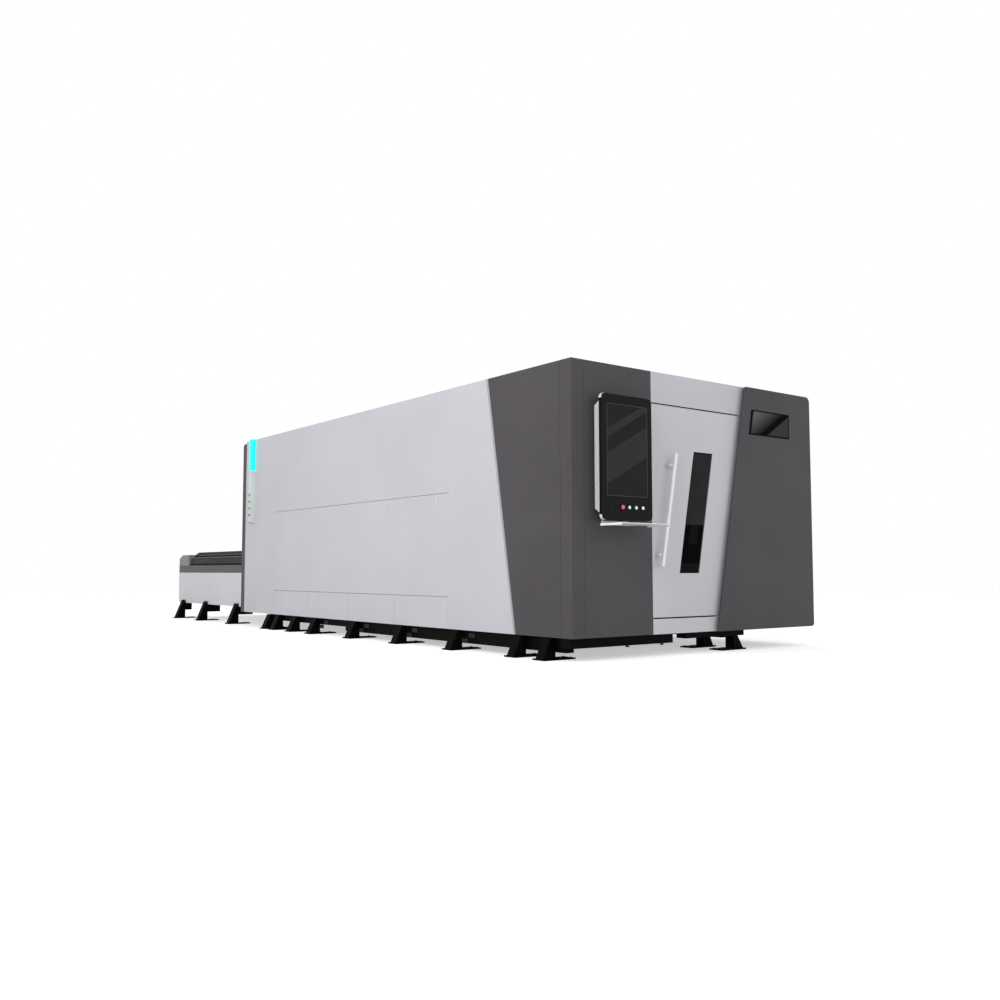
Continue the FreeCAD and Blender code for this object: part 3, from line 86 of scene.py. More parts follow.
def add(tree, kind, **settings):
    """A shader node. A capitalised keyword is an input, the others properties."""
    made = tree.nodes.new("ShaderNode" + kind)
    for key, value in settings.items():
        if key[0].isupper():
            feed(tree, made.inputs[key.replace("_", " ")], value)
        else:
            setattr(made, key, value)
    return made


def calc(tree, operation, first, second=0.0, clamp=False):
    """The result socket of a math node on two values or sockets."""
    made = add(tree, "Math", operation=operation, use_clamp=clamp)
    feed(tree, made.inputs[0], first)
    feed(tree, made.inputs[1], second)
    return made.outputs[0]


def times(tree, first, second, clamp=False):
    """The product of two values or sockets."""
    return calc(tree, "MULTIPLY", first, second, clamp)


def flip(tree, value):
    """1 minus a value."""
    return calc(tree, "SUBTRACT", 1.0, value)


def tint(tree, factor, first, second):
    """The colour socket of a mix of two colours."""
    made = add(tree, "Mix", data_type="RGBA")
    for number, value in ((0, factor), (6, first), (7, second)):
        feed(tree, made.inputs[number], value)
    return made.outputs[2]


def ramp(tree, value, low, high, to_low=0.0, to_high=1.0, smooth=True):
    """A value mapped from low..high to to_low..to_high, clamped."""
    made = add(tree, "MapRange", interpolation_type="SMOOTHSTEP" if smooth else "LINEAR",
               Value=value, From_Min=low, From_Max=high, To_Min=to_low, To_Max=to_high)
    return made.outputs["Result"]


def rgb(code):
    """Linear colour of a written sRGB code such as c8c7cc."""
    parts = [int(code[i:i + 2], 16) / 255 for i in (0, 2, 4)]
    line = [p / 12.92 if p <= 0.04045 else ((p + 0.055) / 1.055) ** 2.4 for p in parts]
    return (*line, 1.0)


def noise(tree, where, scale, detail=2.0, rough=0.5, stretch=None):
    """The value socket of a noise texture in object coordinates."""
    if stretch:
        where = add(tree, "Mapping", Vector=where, Scale=stretch).outputs[0]
    made = add(tree, "TexNoise", Vector=where, Scale=scale, Detail=detail, Roughness=rough)
    return made.outputs["Fac"]


def start(name):
    """A new material, its tree, its object coordinates and its split axes."""
    material = bpy.data.materials.new(name)
    material.use_nodes = True
    tree = material.node_tree
    tree.nodes.clear()
    where = add(tree, "TexCoord").outputs["Object"]
    axes = add(tree, "SeparateXYZ", Vector=where).outputs
    return material, tree, where, axes


def close(material, tree, height, strength, distance, **sockets):
    """Ends a tree in a principled shader with a bump from height."""
    bump = add(tree, "Bump", Height=height, Strength=strength, Distance=distance)
    shader = add(tree, "BsdfPrincipled", Normal=bump.outputs[0], **sockets)
    out = add(tree, "OutputMaterial")
    tree.links.new(shader.outputs[0], out.inputs["Surface"])
    return material


def edge_mask(tree, where, radius, gain, patch=35.0):
    """1 along convex and concave edges, broken up by noise, 0 on flat faces."""
    soft = add(tree, "Bevel", samples=4, Radius=radius).outputs[0]
    hard = add(tree, "NewGeometry").outputs["Normal"]
    dot = add(tree, "VectorMath", operation="DOT_PRODUCT")
    tree.links.new(soft, dot.inputs[0])
    tree.links.new(hard, dot.inputs[1])
    bent = flip(tree, dot.outputs["Value"])
    broken = ramp(tree, noise(tree, where, patch, 4.0), 0.35, 0.62)
    return times(tree, times(tree, bent, gain, True), broken, True)


# ----------------------------------------------------------------- materials

DUST = "8d877c"
TOOL_LINE = "dadbdd"
SCORCH = "3a2c24"
SPATTER = "8b6f55"
RUBBED_STEEL = "e4e4e6"


def paint(name, colour, shade, worn, rough, grain=900.0, wear=0.5, dust=0.05, patch=1.3,
          coat=0.0, specular=0.5):
    """Sprayed or powder-coated sheet: fine peel, slow mottling, lighter edges that are rubbed wear
    and a painted edge highlight, dust.
    """
    material, tree, where, axes = start(name)
    broad = noise(tree, where, patch, 3.0)
    fine = noise(tree, where, grain, 2.0, 0.6)
    specks = ramp(tree, noise(tree, where, 260.0, 3.0, 0.7), 0.60, 0.75)
    base = tint(tree, ramp(tree, broad, 0.3, 0.7), rgb(shade), rgb(colour))
    base = tint(tree, times(tree, specks, 0.06), base, rgb(worn))
    low = ramp(tree, axes["Z"], 0.75, 0.10)
    patches = ramp(tree, noise(tree, where, 7.0, 5.0, 0.65), 0.35, 0.75)
    settled = times(tree, low, patches)
    base = tint(tree, times(tree, settled, dust), base, rgb(DUST))
    # Lighter edges: rubbed paint, and a painted highlight along the edges.
    edges = edge_mask(tree, where, 0.003, 2.5)
    base = tint(tree, times(tree, edges, wear), base, rgb(worn))
    wiped = noise(tree, where, 5.0, 4.0, 0.6, (1.0, 0.35, 1.0))
    gloss = calc(tree, "ADD", ramp(tree, wiped, 0.3, 0.75, rough - 0.02, rough + 0.04),
                 times(tree, settled, 0.18), True)
    return close(material, tree, fine, 0.35, 0.00012, Base_Color=base, Roughness=gloss,
                 Coat_Weight=coat, Coat_Roughness=0.18, Specular_IOR_Level=specular)


def steel(name, colour, shade, rough, lines=(1.0, 40.0, 40.0), heat=0.0, wear=0.6,
          metallic=1.0, streak=0.35, specular=0.5):
    """Ground, milled or burnt steel with tool lines along one axis."""
    material, tree, where, _ = start(name)
    marks = noise(tree, where, 60.0, 5.0, 0.6, lines)
    blotch = ramp(tree, noise(tree, where, 9.0, 5.0, 0.65), 0.35, 0.7)
    base = tint(tree, blotch, rgb(shade), rgb(colour))
    ground = ramp(tree, marks, 0.35, 0.65)
    base = tint(tree, times(tree, ground, streak), base, rgb(TOOL_LINE))
    if heat:
        tips = ramp(tree, noise(tree, where, 30.0, 4.0, 0.7), 0.45, 0.62)
        base = tint(tree, times(tree, tips, heat), base, rgb(SCORCH))
        drops = ramp(tree, noise(tree, where, 220.0, 2.0, 0.7), 0.62, 0.72)
        base = tint(tree, times(tree, drops, 0.6), base, rgb(SPATTER))
    edges = edge_mask(tree, where, 0.0015, 3.0, 60.0)
    base = tint(tree, times(tree, edges, wear), base, rgb(RUBBED_STEEL))
    gloss = calc(tree, "ADD", ramp(tree, marks, 0.3, 0.7, rough - 0.08, rough + 0.12),
                 times(tree, blotch, 0.10), True)
    return close(material, tree, marks, 0.25, 0.0003, Base_Color=base, Roughness=gloss,
                 Metallic=metallic, Specular_IOR_Level=specular)


def plastic(name, colour, shade, rough, grain=1400.0, coat=0.0, glow=0.0, worn="ffffff",
            specular=0.5):
    """Moulded plastic: fine texture, a slow change of tone, rubbed edges, and where glow is set a
    painted glow of caps that hold no lamp.
    """
    material, tree, where, _ = start(name)
    broad = noise(tree, where, 14.0, 3.0)
    base = tint(tree, ramp(tree, broad, 0.3, 0.7), rgb(shade), rgb(colour))
    edges = edge_mask(tree, where, 0.001, 2.0, 90.0)
    base = tint(tree, times(tree, edges, 0.25), base, rgb(worn))
    smears = noise(tree, where, 22.0, 4.0, 0.7)
    gloss = ramp(tree, smears, 0.3, 0.75, rough - 0.06, rough + 0.10)
    # Glow: painted light, the cap's own colour given off as emission.
    extra = {"Emission_Color": base, "Emission_Strength": glow} if glow else {}
    return close(material, tree, noise(tree, where, grain, 2.0), 0.3, 0.00006,
                 Base_Color=base, Roughness=gloss, Coat_Weight=coat, Coat_Roughness=0.08,
                 Specular_IOR_Level=specular, **extra)


def across(tree, axes, x, z, lean, soft=2.0):
    """1 on the right of a leaning line through (x, z), in millimetres, on the front."""
    moved = times(tree, calc(tree, "SUBTRACT", axes["Z"], z * MM), lean)
    beside = calc(tree, "SUBTRACT", axes["X"], (x - CENTRE_X) * MM)
    return ramp(tree, calc(tree, "SUBTRACT", beside, moved), -soft * MM, soft * MM)


def above(tree, axes, z):
    """1 above a height, in millimetres."""
    return ramp(tree, axes["Z"], (z - 2.0) * MM, (z + 2.0) * MM)


def glass_gloss(material, tree, where, base, rough=0.08):
    """The common end of the dark glass sheets: wiped smears and long waviness."""
    wiped = noise(tree, where, 9.0, 5.0, 0.6, (1.0, 1.0, 0.3))
    smear = ramp(tree, wiped, 0.35, 0.8, rough, rough + 0.10)
    wave = noise(tree, where, 2.5, 1.0)
    return close(material, tree, wave, 0.05, 0.001, Base_Color=base, Roughness=smear,
                 Specular_IOR_Level=0.02)


def door_glass():
    """Laser-safe window of the door with its interior painted on: smoky above, painted black shade
    below the bed's top, and the shaded outlines of a block behind it and of the bed's foot."""
    bed_top, foot_top = 1040, 727
    block_foot, block_left, block_right, block_level = 885, 1268, 1372, 900
    material, tree, where, axes = start("door_glass_tint_and_painted_interior")
    broad = noise(tree, where, 6.0, 3.0)
    base = tint(tree, ramp(tree, broad, 0.3, 0.7), rgb("262627"), rgb("2b2b2c"))
    # Painted shade: black below the bed's top, where the interior lies in shadow behind the glass.
    low = flip(tree, above(tree, axes, bed_top))
    base = tint(tree, low, base, rgb("000000"))
    # Painted view: the shaded outline of a block behind the glass, then the bed's foot below.
    block = times(tree, times(tree, low, above(tree, axes, block_foot)),
                  across(tree, axes, block_left, block_level, SLANT))
    beyond = across(tree, axes, block_right, block_level, SLANT)
    block = times(tree, block, flip(tree, beyond))
    base = tint(tree, times(tree, block, 0.6), base, rgb("141415"))
    base = tint(tree, flip(tree, above(tree, axes, foot_top)), base, rgb("121213"))
    return glass_gloss(material, tree, where, base)


def high_glass():
    """Upper window with a painted reflection: grey that fades to black at a diagonal, dark grey on
    the right.
    """
    fold_x, fold_z, lean = 2258, 1855, 1.6
    material, tree, where, axes = start("high_glass_painted_reflection")
    # The painted reflection: grey on the left fading to black, and dark grey right of a leaning
    # line.
    slide = calc(tree, "SUBTRACT", axes["X"], times(tree, axes["Z"], lean))
    edge = (fold_x - CENTRE_X - lean * fold_z) * MM
    fade = ramp(tree, slide, edge - 0.43, edge - 0.09, smooth=False)
    left = tint(tree, fade, rgb("5c5e5d"), rgb("020202"))
    right = across(tree, axes, fold_x, fold_z, lean, 3.0)
    return glass_gloss(material, tree, where, tint(tree, right, left, rgb("363738")))


def screen_glass():
    """Switched-off display with two painted reflection bands across it."""
    middle_x, lean, soft = 243, 0.534, 0.002
    material, tree, where, axes = start("display_glass_painted_reflections")
    broad = noise(tree, where, 5.0, 3.0)
    base = tint(tree, ramp(tree, broad, 0.3, 0.7), rgb("242425"), rgb("272728"))
    over = calc(tree, "SUBTRACT", axes["Z"], times(tree, axes["X"], lean))
    shift = lean * (middle_x - CENTRE_X) * MM
    # Two leaning lighter bands: painted reflections on the glass.
    for low, high in ((1661, 1724), (1310, 1542)):
        foot, top = low * MM - shift, high * MM - shift
        inside = times(tree, ramp(tree, over, foot - soft, foot + soft),
                       ramp(tree, over, top + soft, top - soft))
        base = tint(tree, inside, base, rgb("333334"))
    return glass_gloss(material, tree, where, base, 0.12)


def lens_glow():
    """Cyan status lens lit from inside, with faint vertical prisms."""
    material, tree, where, _ = start("cyan_lens_lit")
    wave = add(tree, "TexWave", Vector=where, Scale=18.0, bands_direction="Y")
    prism = wave.outputs["Fac"]
    base = tint(tree, times(tree, prism, 0.25), rgb("0cf2f2"), rgb("06dade"))
    gloss = ramp(tree, noise(tree, where, 8.0, 2.0), 0.3, 0.7, 0.16, 0.28)
    return close(material, tree, prism, 0.15, 0.0006, Base_Color=base, Roughness=gloss,
                 Emission_Color=base, Emission_Strength=0.65, Specular_IOR_Level=0.22)


LOOKS = {
    "light_paint": paint("light_powder_coat", "bfbec3", "bbbabf", "d6d6da", 0.46,
                         specular=0.2),
    "dark_paint": paint("graphite_powder_coat", "4f4c4f", "4a474a", "757376", 0.5,
                        specular=0.1),
    "black_paint": paint("black_enamel", "050505", "030303", "2c2c2e", 0.5, dust=0.01,
                         specular=0.03, wear=0.25),
    "bed_paint": paint("bed_enamel", "77797c", "6e7073", "a5a7a9", 0.48, grain=500.0,
                       wear=0.6, specular=0.2),
    "table_paint": paint("table_enamel", "5d5c5f", "585759", "8a8a8c", 0.5, grain=600.0,
                         wear=0.4, specular=0.1),
    "pallet_paint": paint("pallet_enamel", "3a3a3b", "323233", "6c6c6e", 0.5, grain=500.0,
                          wear=0.7, patch=3.0, specular=0.08),
    "ground_steel": steel("ground_rail_steel", "b9babd", "9fa1a4", 0.26),
    "slat_steel": steel("burnt_slat_steel", "2f2f31", "222222", 0.55, (8.0, 8.0, 1.0),
                        heat=0.5, wear=0.35, metallic=0.4, streak=0.08, specular=0.15),
    "cast_alloy": steel("blasted_alloy", "a9abae", "9b9da0", 0.44, (20.0, 20.0, 20.0),
                        wear=0.4, metallic=0.85),
    "handle_paint": paint("pale_handle_enamel", "e6e3e9", "e0dde3", "f6f6f8", 0.34,
                          coat=0.3, dust=0.0),
    "screen_glass": screen_glass(),
    "bezel_plastic": plastic("satin_black_bezel", "0f1011", "0d0e0f", 0.38, worn="505256",
                             specular=0.08),
    "red_plastic": plastic("red_button_cap", "e0565c", "cf444b", 0.28, coat=0.4, glow=0.10),
    "white_plastic": plastic("white_button_cap", "eef6f0", "dfe9e2", 0.28, coat=0.4,
                             glow=0.12),
    "green_plastic": plastic("green_button_cap", "36b45a", "2aa04d", 0.30, coat=0.4,
                             glow=0.06),
    "cyan_lens": lens_glow(),
    "motor_black": plastic("motor_housing_black", "232427", "1b1c1e", 0.45, 700.0,
                           worn="77797c"),
    "tinted_glass": door_glass(),
}
HIGH_GLASS_REFLECTION = high_glass()
# Near-white polished arcs: painted highlights on the bezel's rounded corners.
CORNER_HIGHLIGHT = steel("polished_corner_highlight", "f4f4f6", "e8e8ea", 0.3, (1.0, 1.0, 30.0), metallic=0.15)
DARK_TRIM = plastic("dark_trim", "0c0c0d", "090909", 0.42, worn="3c3d40", specular=0.08)
LINE_TRIM = plastic("grey_trim_line", "505153", "48494b", 0.4, worn="7a7b7e", specular=0.1)
PALE_TRIM = plastic("pale_trim", "d4d3d8", "cdccd1", 0.36, worn="f0f0f2")
WEDGE_FOLD_SHADE = plastic("wedge_fold_painted_shade", "a3a2a6", "9d9ca0", 0.42, worn="c8c8cb", specular=0.2)
STRIP_GREEN = plastic("strip_green_cap", "25a860", "1f9c57", 0.3, glow=0.25)
STRIP_RED = plastic("strip_red_cap", "c8303c", "b92833", 0.3, glow=0.20)
ZINC = steel("zinc_fastener", "b4b7ba", "989b9f", 0.32, (6.0, 6.0, 6.0))
BLACK_STEEL = steel("blackened_bolts", "1c1c1d", "131314", 0.45, (6.0, 6.0, 6.0), wear=0.4,
                    metallic=0.3, streak=0.05, specular=0.2)
BRACKET = paint("bracket_enamel", "2b2b2c", "242425", "555557", 0.5, specular=0.1)
LIGHT_BEAD = paint("light_seam_bead", "b9b8bd", "b3b2b7", "c9c9cd", 0.5, specular=0.15,
                   wear=0.2)
DARK_BEAD = paint("dark_seam_bead", "48454a", "434145", "5d5b60", 0.55, specular=0.08,
                  wear=0.2)
RUBBER = plastic("black_rubber", "050505", "030303", 0.6, 900.0, worn="1a1a1b",
                 specular=0.03)
# Lighter steel strips: rubbed edges, and a painted highlight along the flanges.
EDGE_WEAR_AND_HIGHLIGHT = steel("channel_edge_wear_and_highlight", "58585a", "4b4b4d", 0.45, (1.0, 30.0, 30.0),
                     wear=0.3, metallic=0.2, streak=0.15, specular=0.2)
PALLET_FRAME = paint("pallet_frame_coat", "1b1b1c", "171718", "525254", 0.52, grain=500.0,
                     wear=0.6, patch=3.0, specular=0.06)
BY_NODE = {
    # Lighter copies of the light coat on the sill and the door: painted light on the front.
    "front_sill": paint("sill_coat_painted_light", "c5c4c9", "c1c0c5", "dcdce0", 0.46,
                        specular=0.2),
    "door_panel": paint("door_coat_painted_light", "c3c2c7", "bfbec3", "d8d8dc", 0.46,
                        specular=0.2),
    "high_window_glass": HIGH_GLASS_REFLECTION,
    # A lighter, cyan-tinted copy of the light coat: painted light, the cyan lens' glow on the
    # housing.
    "strip_housing": paint("strip_housing_painted_cyan_light", "ccd1d1", "c5caca", "e0e4e4", 0.4,
                           specular=0.25, dust=0.0),
    # A lighter copy of the light coat: painted light on the housing's side in the bezel's shade.
    "console_housing": paint("console_housing_painted_light", "d2d0d3", "cccacd", "e8e7ea", 0.44,
                             specular=0.2, dust=0.0),
    # A lighter copy of the light coat: painted light on the table's sides, far from the lamps.
    "table_side_panels": paint("table_side_painted_light", "cecdd2", "c8c7cc", "dedee2", 0.46,
                               specular=0.2),
    "table_end_cap": paint("table_cap_coat", "868688", "7e7e80", "acacae", 0.5,
                           specular=0.15),
    "keyboard_tray": paint("tray_enamel", "eeeef0", "e6e6e9", "f8f8fa", 0.38, specular=0.3,
                           dust=0.0),
    "upper_pallet_frame": PALLET_FRAME,
    "lower_pallet_frame": PALLET_FRAME,
    "high_window_frame": RUBBER,
}
# Glass, thin sheet edges and welded frames keep their sharp edges.
SHARP = {"upper_pallet_slats", "lower_pallet_slats", "door_window", "high_window_glass",
         "console_screen", "table_side_panels", "bed_frame", "enclosure_frame",
         "lower_pallet_frame", "upper_pallet_frame", "pallet_rails", "table_frame",
         "underframe"}


def break_edges(thing, width):
    """Softly broken edges of this width, in millimetres."""
    broken = thing.modifiers.new("edges", "BEVEL")
    broken.width = width * MM
    broken.segments = 2
    broken.limit_method = "ANGLE"
    broken.angle_limit = math.radians(30)
    broken.harden_normals = True


def dress_nodes():
    """Gives every carried-over node its material and, but for SHARP, broken edges."""
    for name, thing in NODES.items():
        slot_name = thing.data.materials[0].name.split(".")[0]
        thing.data.materials[0] = BY_NODE.get(name, LOOKS[slot_name])
        if name in SHARP:
            continue
        for layer in ("custom_normal", "sharp_edge", "sharp_face"):
            if layer in thing.data.attributes:
                thing.data.attributes.remove(thing.data.attributes[layer])
        thing.data.shade_smooth()
        welded = thing.modifiers.new("weld", "WELD")
        welded.merge_threshold = 1e-5
        break_edges(thing, 1.5)


dress_nodes()

# ------------------------------------------------------------- mesh building


def mesh_of(name, bm):
    """A mesh with the built faces."""
    mesh = bpy.data.meshes.new(name)
    bm.to_mesh(mesh)
    bm.free()
    return mesh


def placed(name, data):
    """A new object in the scene."""
    made = bpy.data.objects.new(name, data)
    bpy.context.scene.collection.objects.link(made)
    return made


def piece(name, bm, body, material, smooth=True, soften=0.0):
    """A finished mesh object that rides on a body."""
    bmesh.ops.recalc_face_normals(bm, faces=bm.faces)
    mesh = mesh_of(name, bm)
    made = placed(name, mesh)
    mesh.materials.append(material)
    if smooth:
        mesh.shade_smooth()
    if soften:
        break_edges(made, soften)
    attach(made, body)


PLANES = {
    "front": lambda u, v, w: at(u, w, v),
    "side": lambda u, v, w: at(w, u, v),
    "floor": lambda u, v, w: at(u, v, w),
}
FORWARD, BACK, LEFT, UP = (0, -1, 0), (0, 1, 0), (-1, 0, 0), (0, 0, 1)


def arc_points(cu, cv, radius, begin, end, count):
    """Points on an arc, angles in degrees."""
    turns = [math.radians(begin + (end - begin) * i / count) for i in range(count + 1)]
    return [(cu + radius * math.cos(t), cv + radius * math.sin(t)) for t in turns]


def rectangle(u0, u1, v0, v1):
    """Outline of a rectangle, anticlockwise."""
    return [(u0, v0), (u1, v0), (u1, v1), (u0, v1)]


def round_box(u0, u1, v0, v1, radius, count=6):
    """Outline of a rectangle with round corners, anticlockwise."""
    points = []
    for cu, cv, begin in ((u1 - radius, v1 - radius, 0), (u0 + radius, v1 - radius, 90),
                          (u0 + radius, v0 + radius, 180), (u1 - radius, v0 + radius, 270)):
        points += arc_points(cu, cv, radius, begin, begin + 90, count)
    return points


def inset(points, by):
    """The outline moved inwards by a distance, corner by corner."""
    count = len(points)
    moved = []
    for i, point in enumerate(points):
        before, after = Vector(points[i - 1]), Vector(points[(i + 1) % count])
        here = Vector(point)
        first, second = (here - before).normalized(), (after - here).normalized()
        left, right = Vector((-first.y, first.x)), Vector((-second.y, second.x))
        middle = (left + right).normalized()
        moved.append(tuple(here + middle * by / max(0.3, middle.dot(left))))
    return moved


def loop(bm, points, plane, depth):
    """The vertices of an outline at a depth."""
    return [bm.verts.new(PLANES[plane](u, v, depth)) for u, v in points]


def skin(bm, first, second):
    """Quads between two loops with the same count."""
    for i, vert in enumerate(first):
        j = (i + 1) % len(first)
        bm.faces.new((vert, first[j], second[j], second[i]))


def slab(bm, points, plane, low, high):
    """A closed plate with this outline."""
    bottom, top = loop(bm, points, plane, low), loop(bm, points, plane, high)
    skin(bm, bottom, top)
    bm.faces.new(bottom)
    bm.faces.new(top)


def frame_ring(bm, outer, inner, plane, low, high):
    """A closed ring between two outlines with the same count."""
    a, b = loop(bm, outer, plane, low), loop(bm, inner, plane, low)
    c, d = loop(bm, outer, plane, high), loop(bm, inner, plane, high)
    for first, second in ((a, b), (b, d), (d, c), (c, a)):
        skin(bm, first, second)


def turned(bm, profile, centre, axis, segments, ring=False):
    """A lathed solid, or a closed ring. The profile has (radius, height along axis)."""
    direction = Vector(axis).normalized()
    side = direction.orthogonal().normalized()
    other = direction.cross(side)
    turns = [2 * math.pi * i / segments for i in range(segments)]
    rings = []
    for radius, height in profile:
        base = Vector(centre) + direction * height
        if radius < 1e-6:
            rings.append([bm.verts.new(at(*base))])
            continue
        spokes = [radius * (side * math.cos(t) + other * math.sin(t)) for t in turns]
        rings.append([bm.verts.new(at(*(base + spoke))) for spoke in spokes])
    for first, second in zip(rings, rings[1:]):
        if len(first) == 1 or len(second) == 1:
            tip, rim = (first[0], second) if len(first) == 1 else (second[0], first)
            for i, vert in enumerate(rim):
                bm.faces.new((tip, vert, rim[(i + 1) % len(rim)]))
        else:
            skin(bm, first, second)
    if ring:
        skin(bm, rings[-1], rings[0])
        return
    for end in (rings[0], rings[-1]):
        if len(end) > 2:
            bm.faces.new(end)


# ------------------------------------------------------------------- console

BEZEL_CORNER = 36.0
BUTTONS = ("stop_button", "start_button", "pause_button", "reset_button")
# Lathe profiles are pairs of a radius and a height along the axis.
RING = ((15.6, -0.3), (15.6, 3.0), (17.0, 4.0), (20.0, 3.6), (21.5, 1.8), (21.5, -0.3))
SKIRT_RADIUS = 15.2
RED_RADIUS, WHITE_RADIUS = 14.4, 12.8
FLARE_OVER = 8.8                    # the ring's height, the press and 0.8 mm to spare
PORT = (225, 267, 1121, 1137)
KEY_X, KEY_Z = 324, 1141
KEY_SWITCH = ((9.0, -0.5), (9.0, 2.2), (7.6, 3.2), (4.2, 3.2), (4.0, 1.6), (0.0, 1.6))


def mushroom_cap(neck):
    """Profile of a cap that flares above this height."""
    return ((RED_RADIUS, 0.2), (RED_RADIUS, neck), (15.9, neck + 0.3), (16.8, neck + 1.6),
            (16.2, neck + 3.4), (12.6, neck + 5.2), (6.5, neck + 6.3), (0.0, neck + 6.7))


def domed_cap(radius):
    """Profile of a low dome."""
    return ((radius, 0.2), (radius, 1.6), (0.91 * radius, 3.6), (0.69 * radius, 5.4),
            (0.36 * radius, 6.4), (0.0, 6.7))


def bezel_trims(low, high):
    """Near-white arcs round the four corners of the bezel: painted highlights on its rounded
    corners, built as thin polished trims.
    """
    left, right = low.x + BEZEL_CORNER, high.x - BEZEL_CORNER
    foot, top = low.z + BEZEL_CORNER, high.z - BEZEL_CORNER
    bm = bmesh.new()
    for cu, cv, begin in ((left, top, 90), (left, foot, 180), (right, top, 0), (right, foot, 270)):
        outer = arc_points(cu, cv, BEZEL_CORNER + 1.4, begin - 4, begin + 94, 14)
        inner = arc_points(cu, cv, BEZEL_CORNER - 0.4, begin - 4, begin + 94, 14)
        slab(bm, outer + inner[::-1], "front", low.y + 1.5, high.y - 0.5)
    piece("bezel_corner_trims", bm, "machine", CORNER_HIGHLIGHT, soften=0.5)


def screen_line(face):
    """Grey line round the display."""
    low, high = corners("console_screen")
    outer = round_box(low.x - 1, high.x + 1, low.z - 1, high.z + 1, 7)
    bm = bmesh.new()
    frame_ring(bm, outer, inset(outer, 3.2), "front", face - 0.8, face + 1.0)
    piece("screen_outline", bm, "machine", LINE_TRIM, soften=0.3)


def console_buttons(face):
    """A ring on the bezel round each button, a cap and a dark skirt on the button."""
    rings = bmesh.new()
    for name in BUTTONS:
        low, high = corners(name)
        x, z = (low.x + high.x) / 2, (low.z + high.z) / 2
        turned(rings, RING, (x, face, z), FORWARD, 32, ring=True)
        if name == "stop_button":
            slot_name, radius, segments = "red_plastic", RED_RADIUS, 40
            profile = mushroom_cap(low.y - face + FLARE_OVER)
        else:
            slot_name, radius, segments = "white_plastic", WHITE_RADIUS, 32
            profile = domed_cap(radius)
        cap = bmesh.new()
        turned(cap, profile, (x, low.y, z), FORWARD, segments)
        piece(name + "_dome", cap, name, LOOKS[slot_name])
        skirt = bmesh.new()
        profile = ((radius + 0.2, -0.5), (radius + 0.2, 1.0), (SKIRT_RADIUS, 1.0),
                   (SKIRT_RADIUS, -1.5))
        turned(skirt, profile, (x, low.y, z), FORWARD, 32, ring=True)
        piece(name + "_skirt", skirt, name, DARK_TRIM)
    piece("button_rings", rings, "machine", DARK_TRIM, soften=0.3)


def port_and_key(face):
    """Flap of the console's port, and its key switch."""
    outer = round_box(*PORT, 7.9)
    bm = bmesh.new()
    frame_ring(bm, outer, inset(outer, 3.0), "front", face - 2.2, face + 0.5)
    slab(bm, inset(outer, 3.4), "front", face - 0.9, face + 0.5)
    turned(bm, KEY_SWITCH, (KEY_X, face, KEY_Z), FORWARD, 28)
    piece("port_flap_and_key_switch", bm, "machine", DARK_TRIM, soften=0.3)


def console_pieces():
    """Trims, screen line, buttons, port and key on the console's bezel."""
    low, high = corners("console_bezel")
    bezel_trims(low, high)
    screen_line(low.y)
    console_buttons(low.y)
    port_and_key(low.y)


# ---------------------------------------------------------------------- door

SEAL_BACK = 3.2                     # just inside the door's face
PAD_LEFT, PAD_RIGHT, PAD_HALF = 46, 17, 12.5
BRACKET_HALF = 10.5


def handle_x(z):
    """Where the leaning handle's axis is at a height."""
    return HANDLE_X - SLANT * (HANDLE_TOP - z)


def door_glass_edges():
    """Black seal round the door's glass, and a thin pale trim round the seal."""
    low, high = corners("door_window")
    width = high.x - low.x - SLANT * (high.z - low.z)
    outline = [(low.x, low.z), (low.x + width, low.z), (high.x, high.z), (high.x - width, high.z)]
    bm = bmesh.new()
    frame_ring(bm, inset(outline, -5.5), inset(outline, 0.8), "front", 2.0, SEAL_BACK)
    piece("door_glass_seal", bm, "sliding_door", RUBBER, smooth=False)
    bm = bmesh.new()
    frame_ring(bm, inset(outline, -9.0), inset(outline, -5.6), "front", 1.7, SEAL_BACK)
    piece("door_glass_trim", bm, "sliding_door", PALE_TRIM, smooth=False,
          soften=0.3)


def handle_pieces():
    """Foot pads, flat brackets and end caps of the door's handle."""
    low, _ = corners("door_handle")
    bar_y = low.y + HANDLE_RADIUS
    tilt = Vector((SLANT, 0, 1)).normalized()
    end_cap = ((HANDLE_RADIUS + 0.2, -9.0), (HANDLE_RADIUS + 0.8, -8.0),
               (HANDLE_RADIUS + 0.8, 0.0), (HANDLE_RADIUS - 2.0, 2.2), (0.0, 2.8))
    bm = bmesh.new()
    for z in (HANDLE_TOP - HANDLE_INSET, HANDLE_FOOT + HANDLE_INSET):
        x = handle_x(z)
        pad = round_box(x - PAD_LEFT, x + PAD_RIGHT, z - PAD_HALF, z + PAD_HALF, 12.0)
        slab(bm, pad, "front", -4.0, SEAL_BACK)
        bracket = [(x - PAD_LEFT + 3, -3.5), (x + PAD_RIGHT - 3, -3.5), (x + 12, bar_y + 4),
                   (x - 10, bar_y + 4)]
        slab(bm, bracket, "floor", z - BRACKET_HALF, z + BRACKET_HALF)
    for z, way in ((HANDLE_TOP, 1), (HANDLE_FOOT, -1)):
        turned(bm, end_cap, (handle_x(z), bar_y, z), way * tilt, 28)
    piece("handle_collars", bm, "sliding_door", LOOKS["handle_paint"])


# --------------------------------------------------- window, brushes and beads

WINDOW_FACE = -48.0
WINDOW_LEFT, WINDOW_RIGHT, WINDOW_EDGE = 26, 15, 12     # border round the pane
SKIRT_Z, ROOF_Z = 171, 2249                             # ends of the seam beads
BEAD_LEFT, BEAD_RIGHT = 125.3, 127.7
COVER_SEAMS = (1608.5, 5157.5)
WEDGE_SHADE_STRIP = [(671, 172), (693, 172), (1056, 2248), (1034, 2248)]


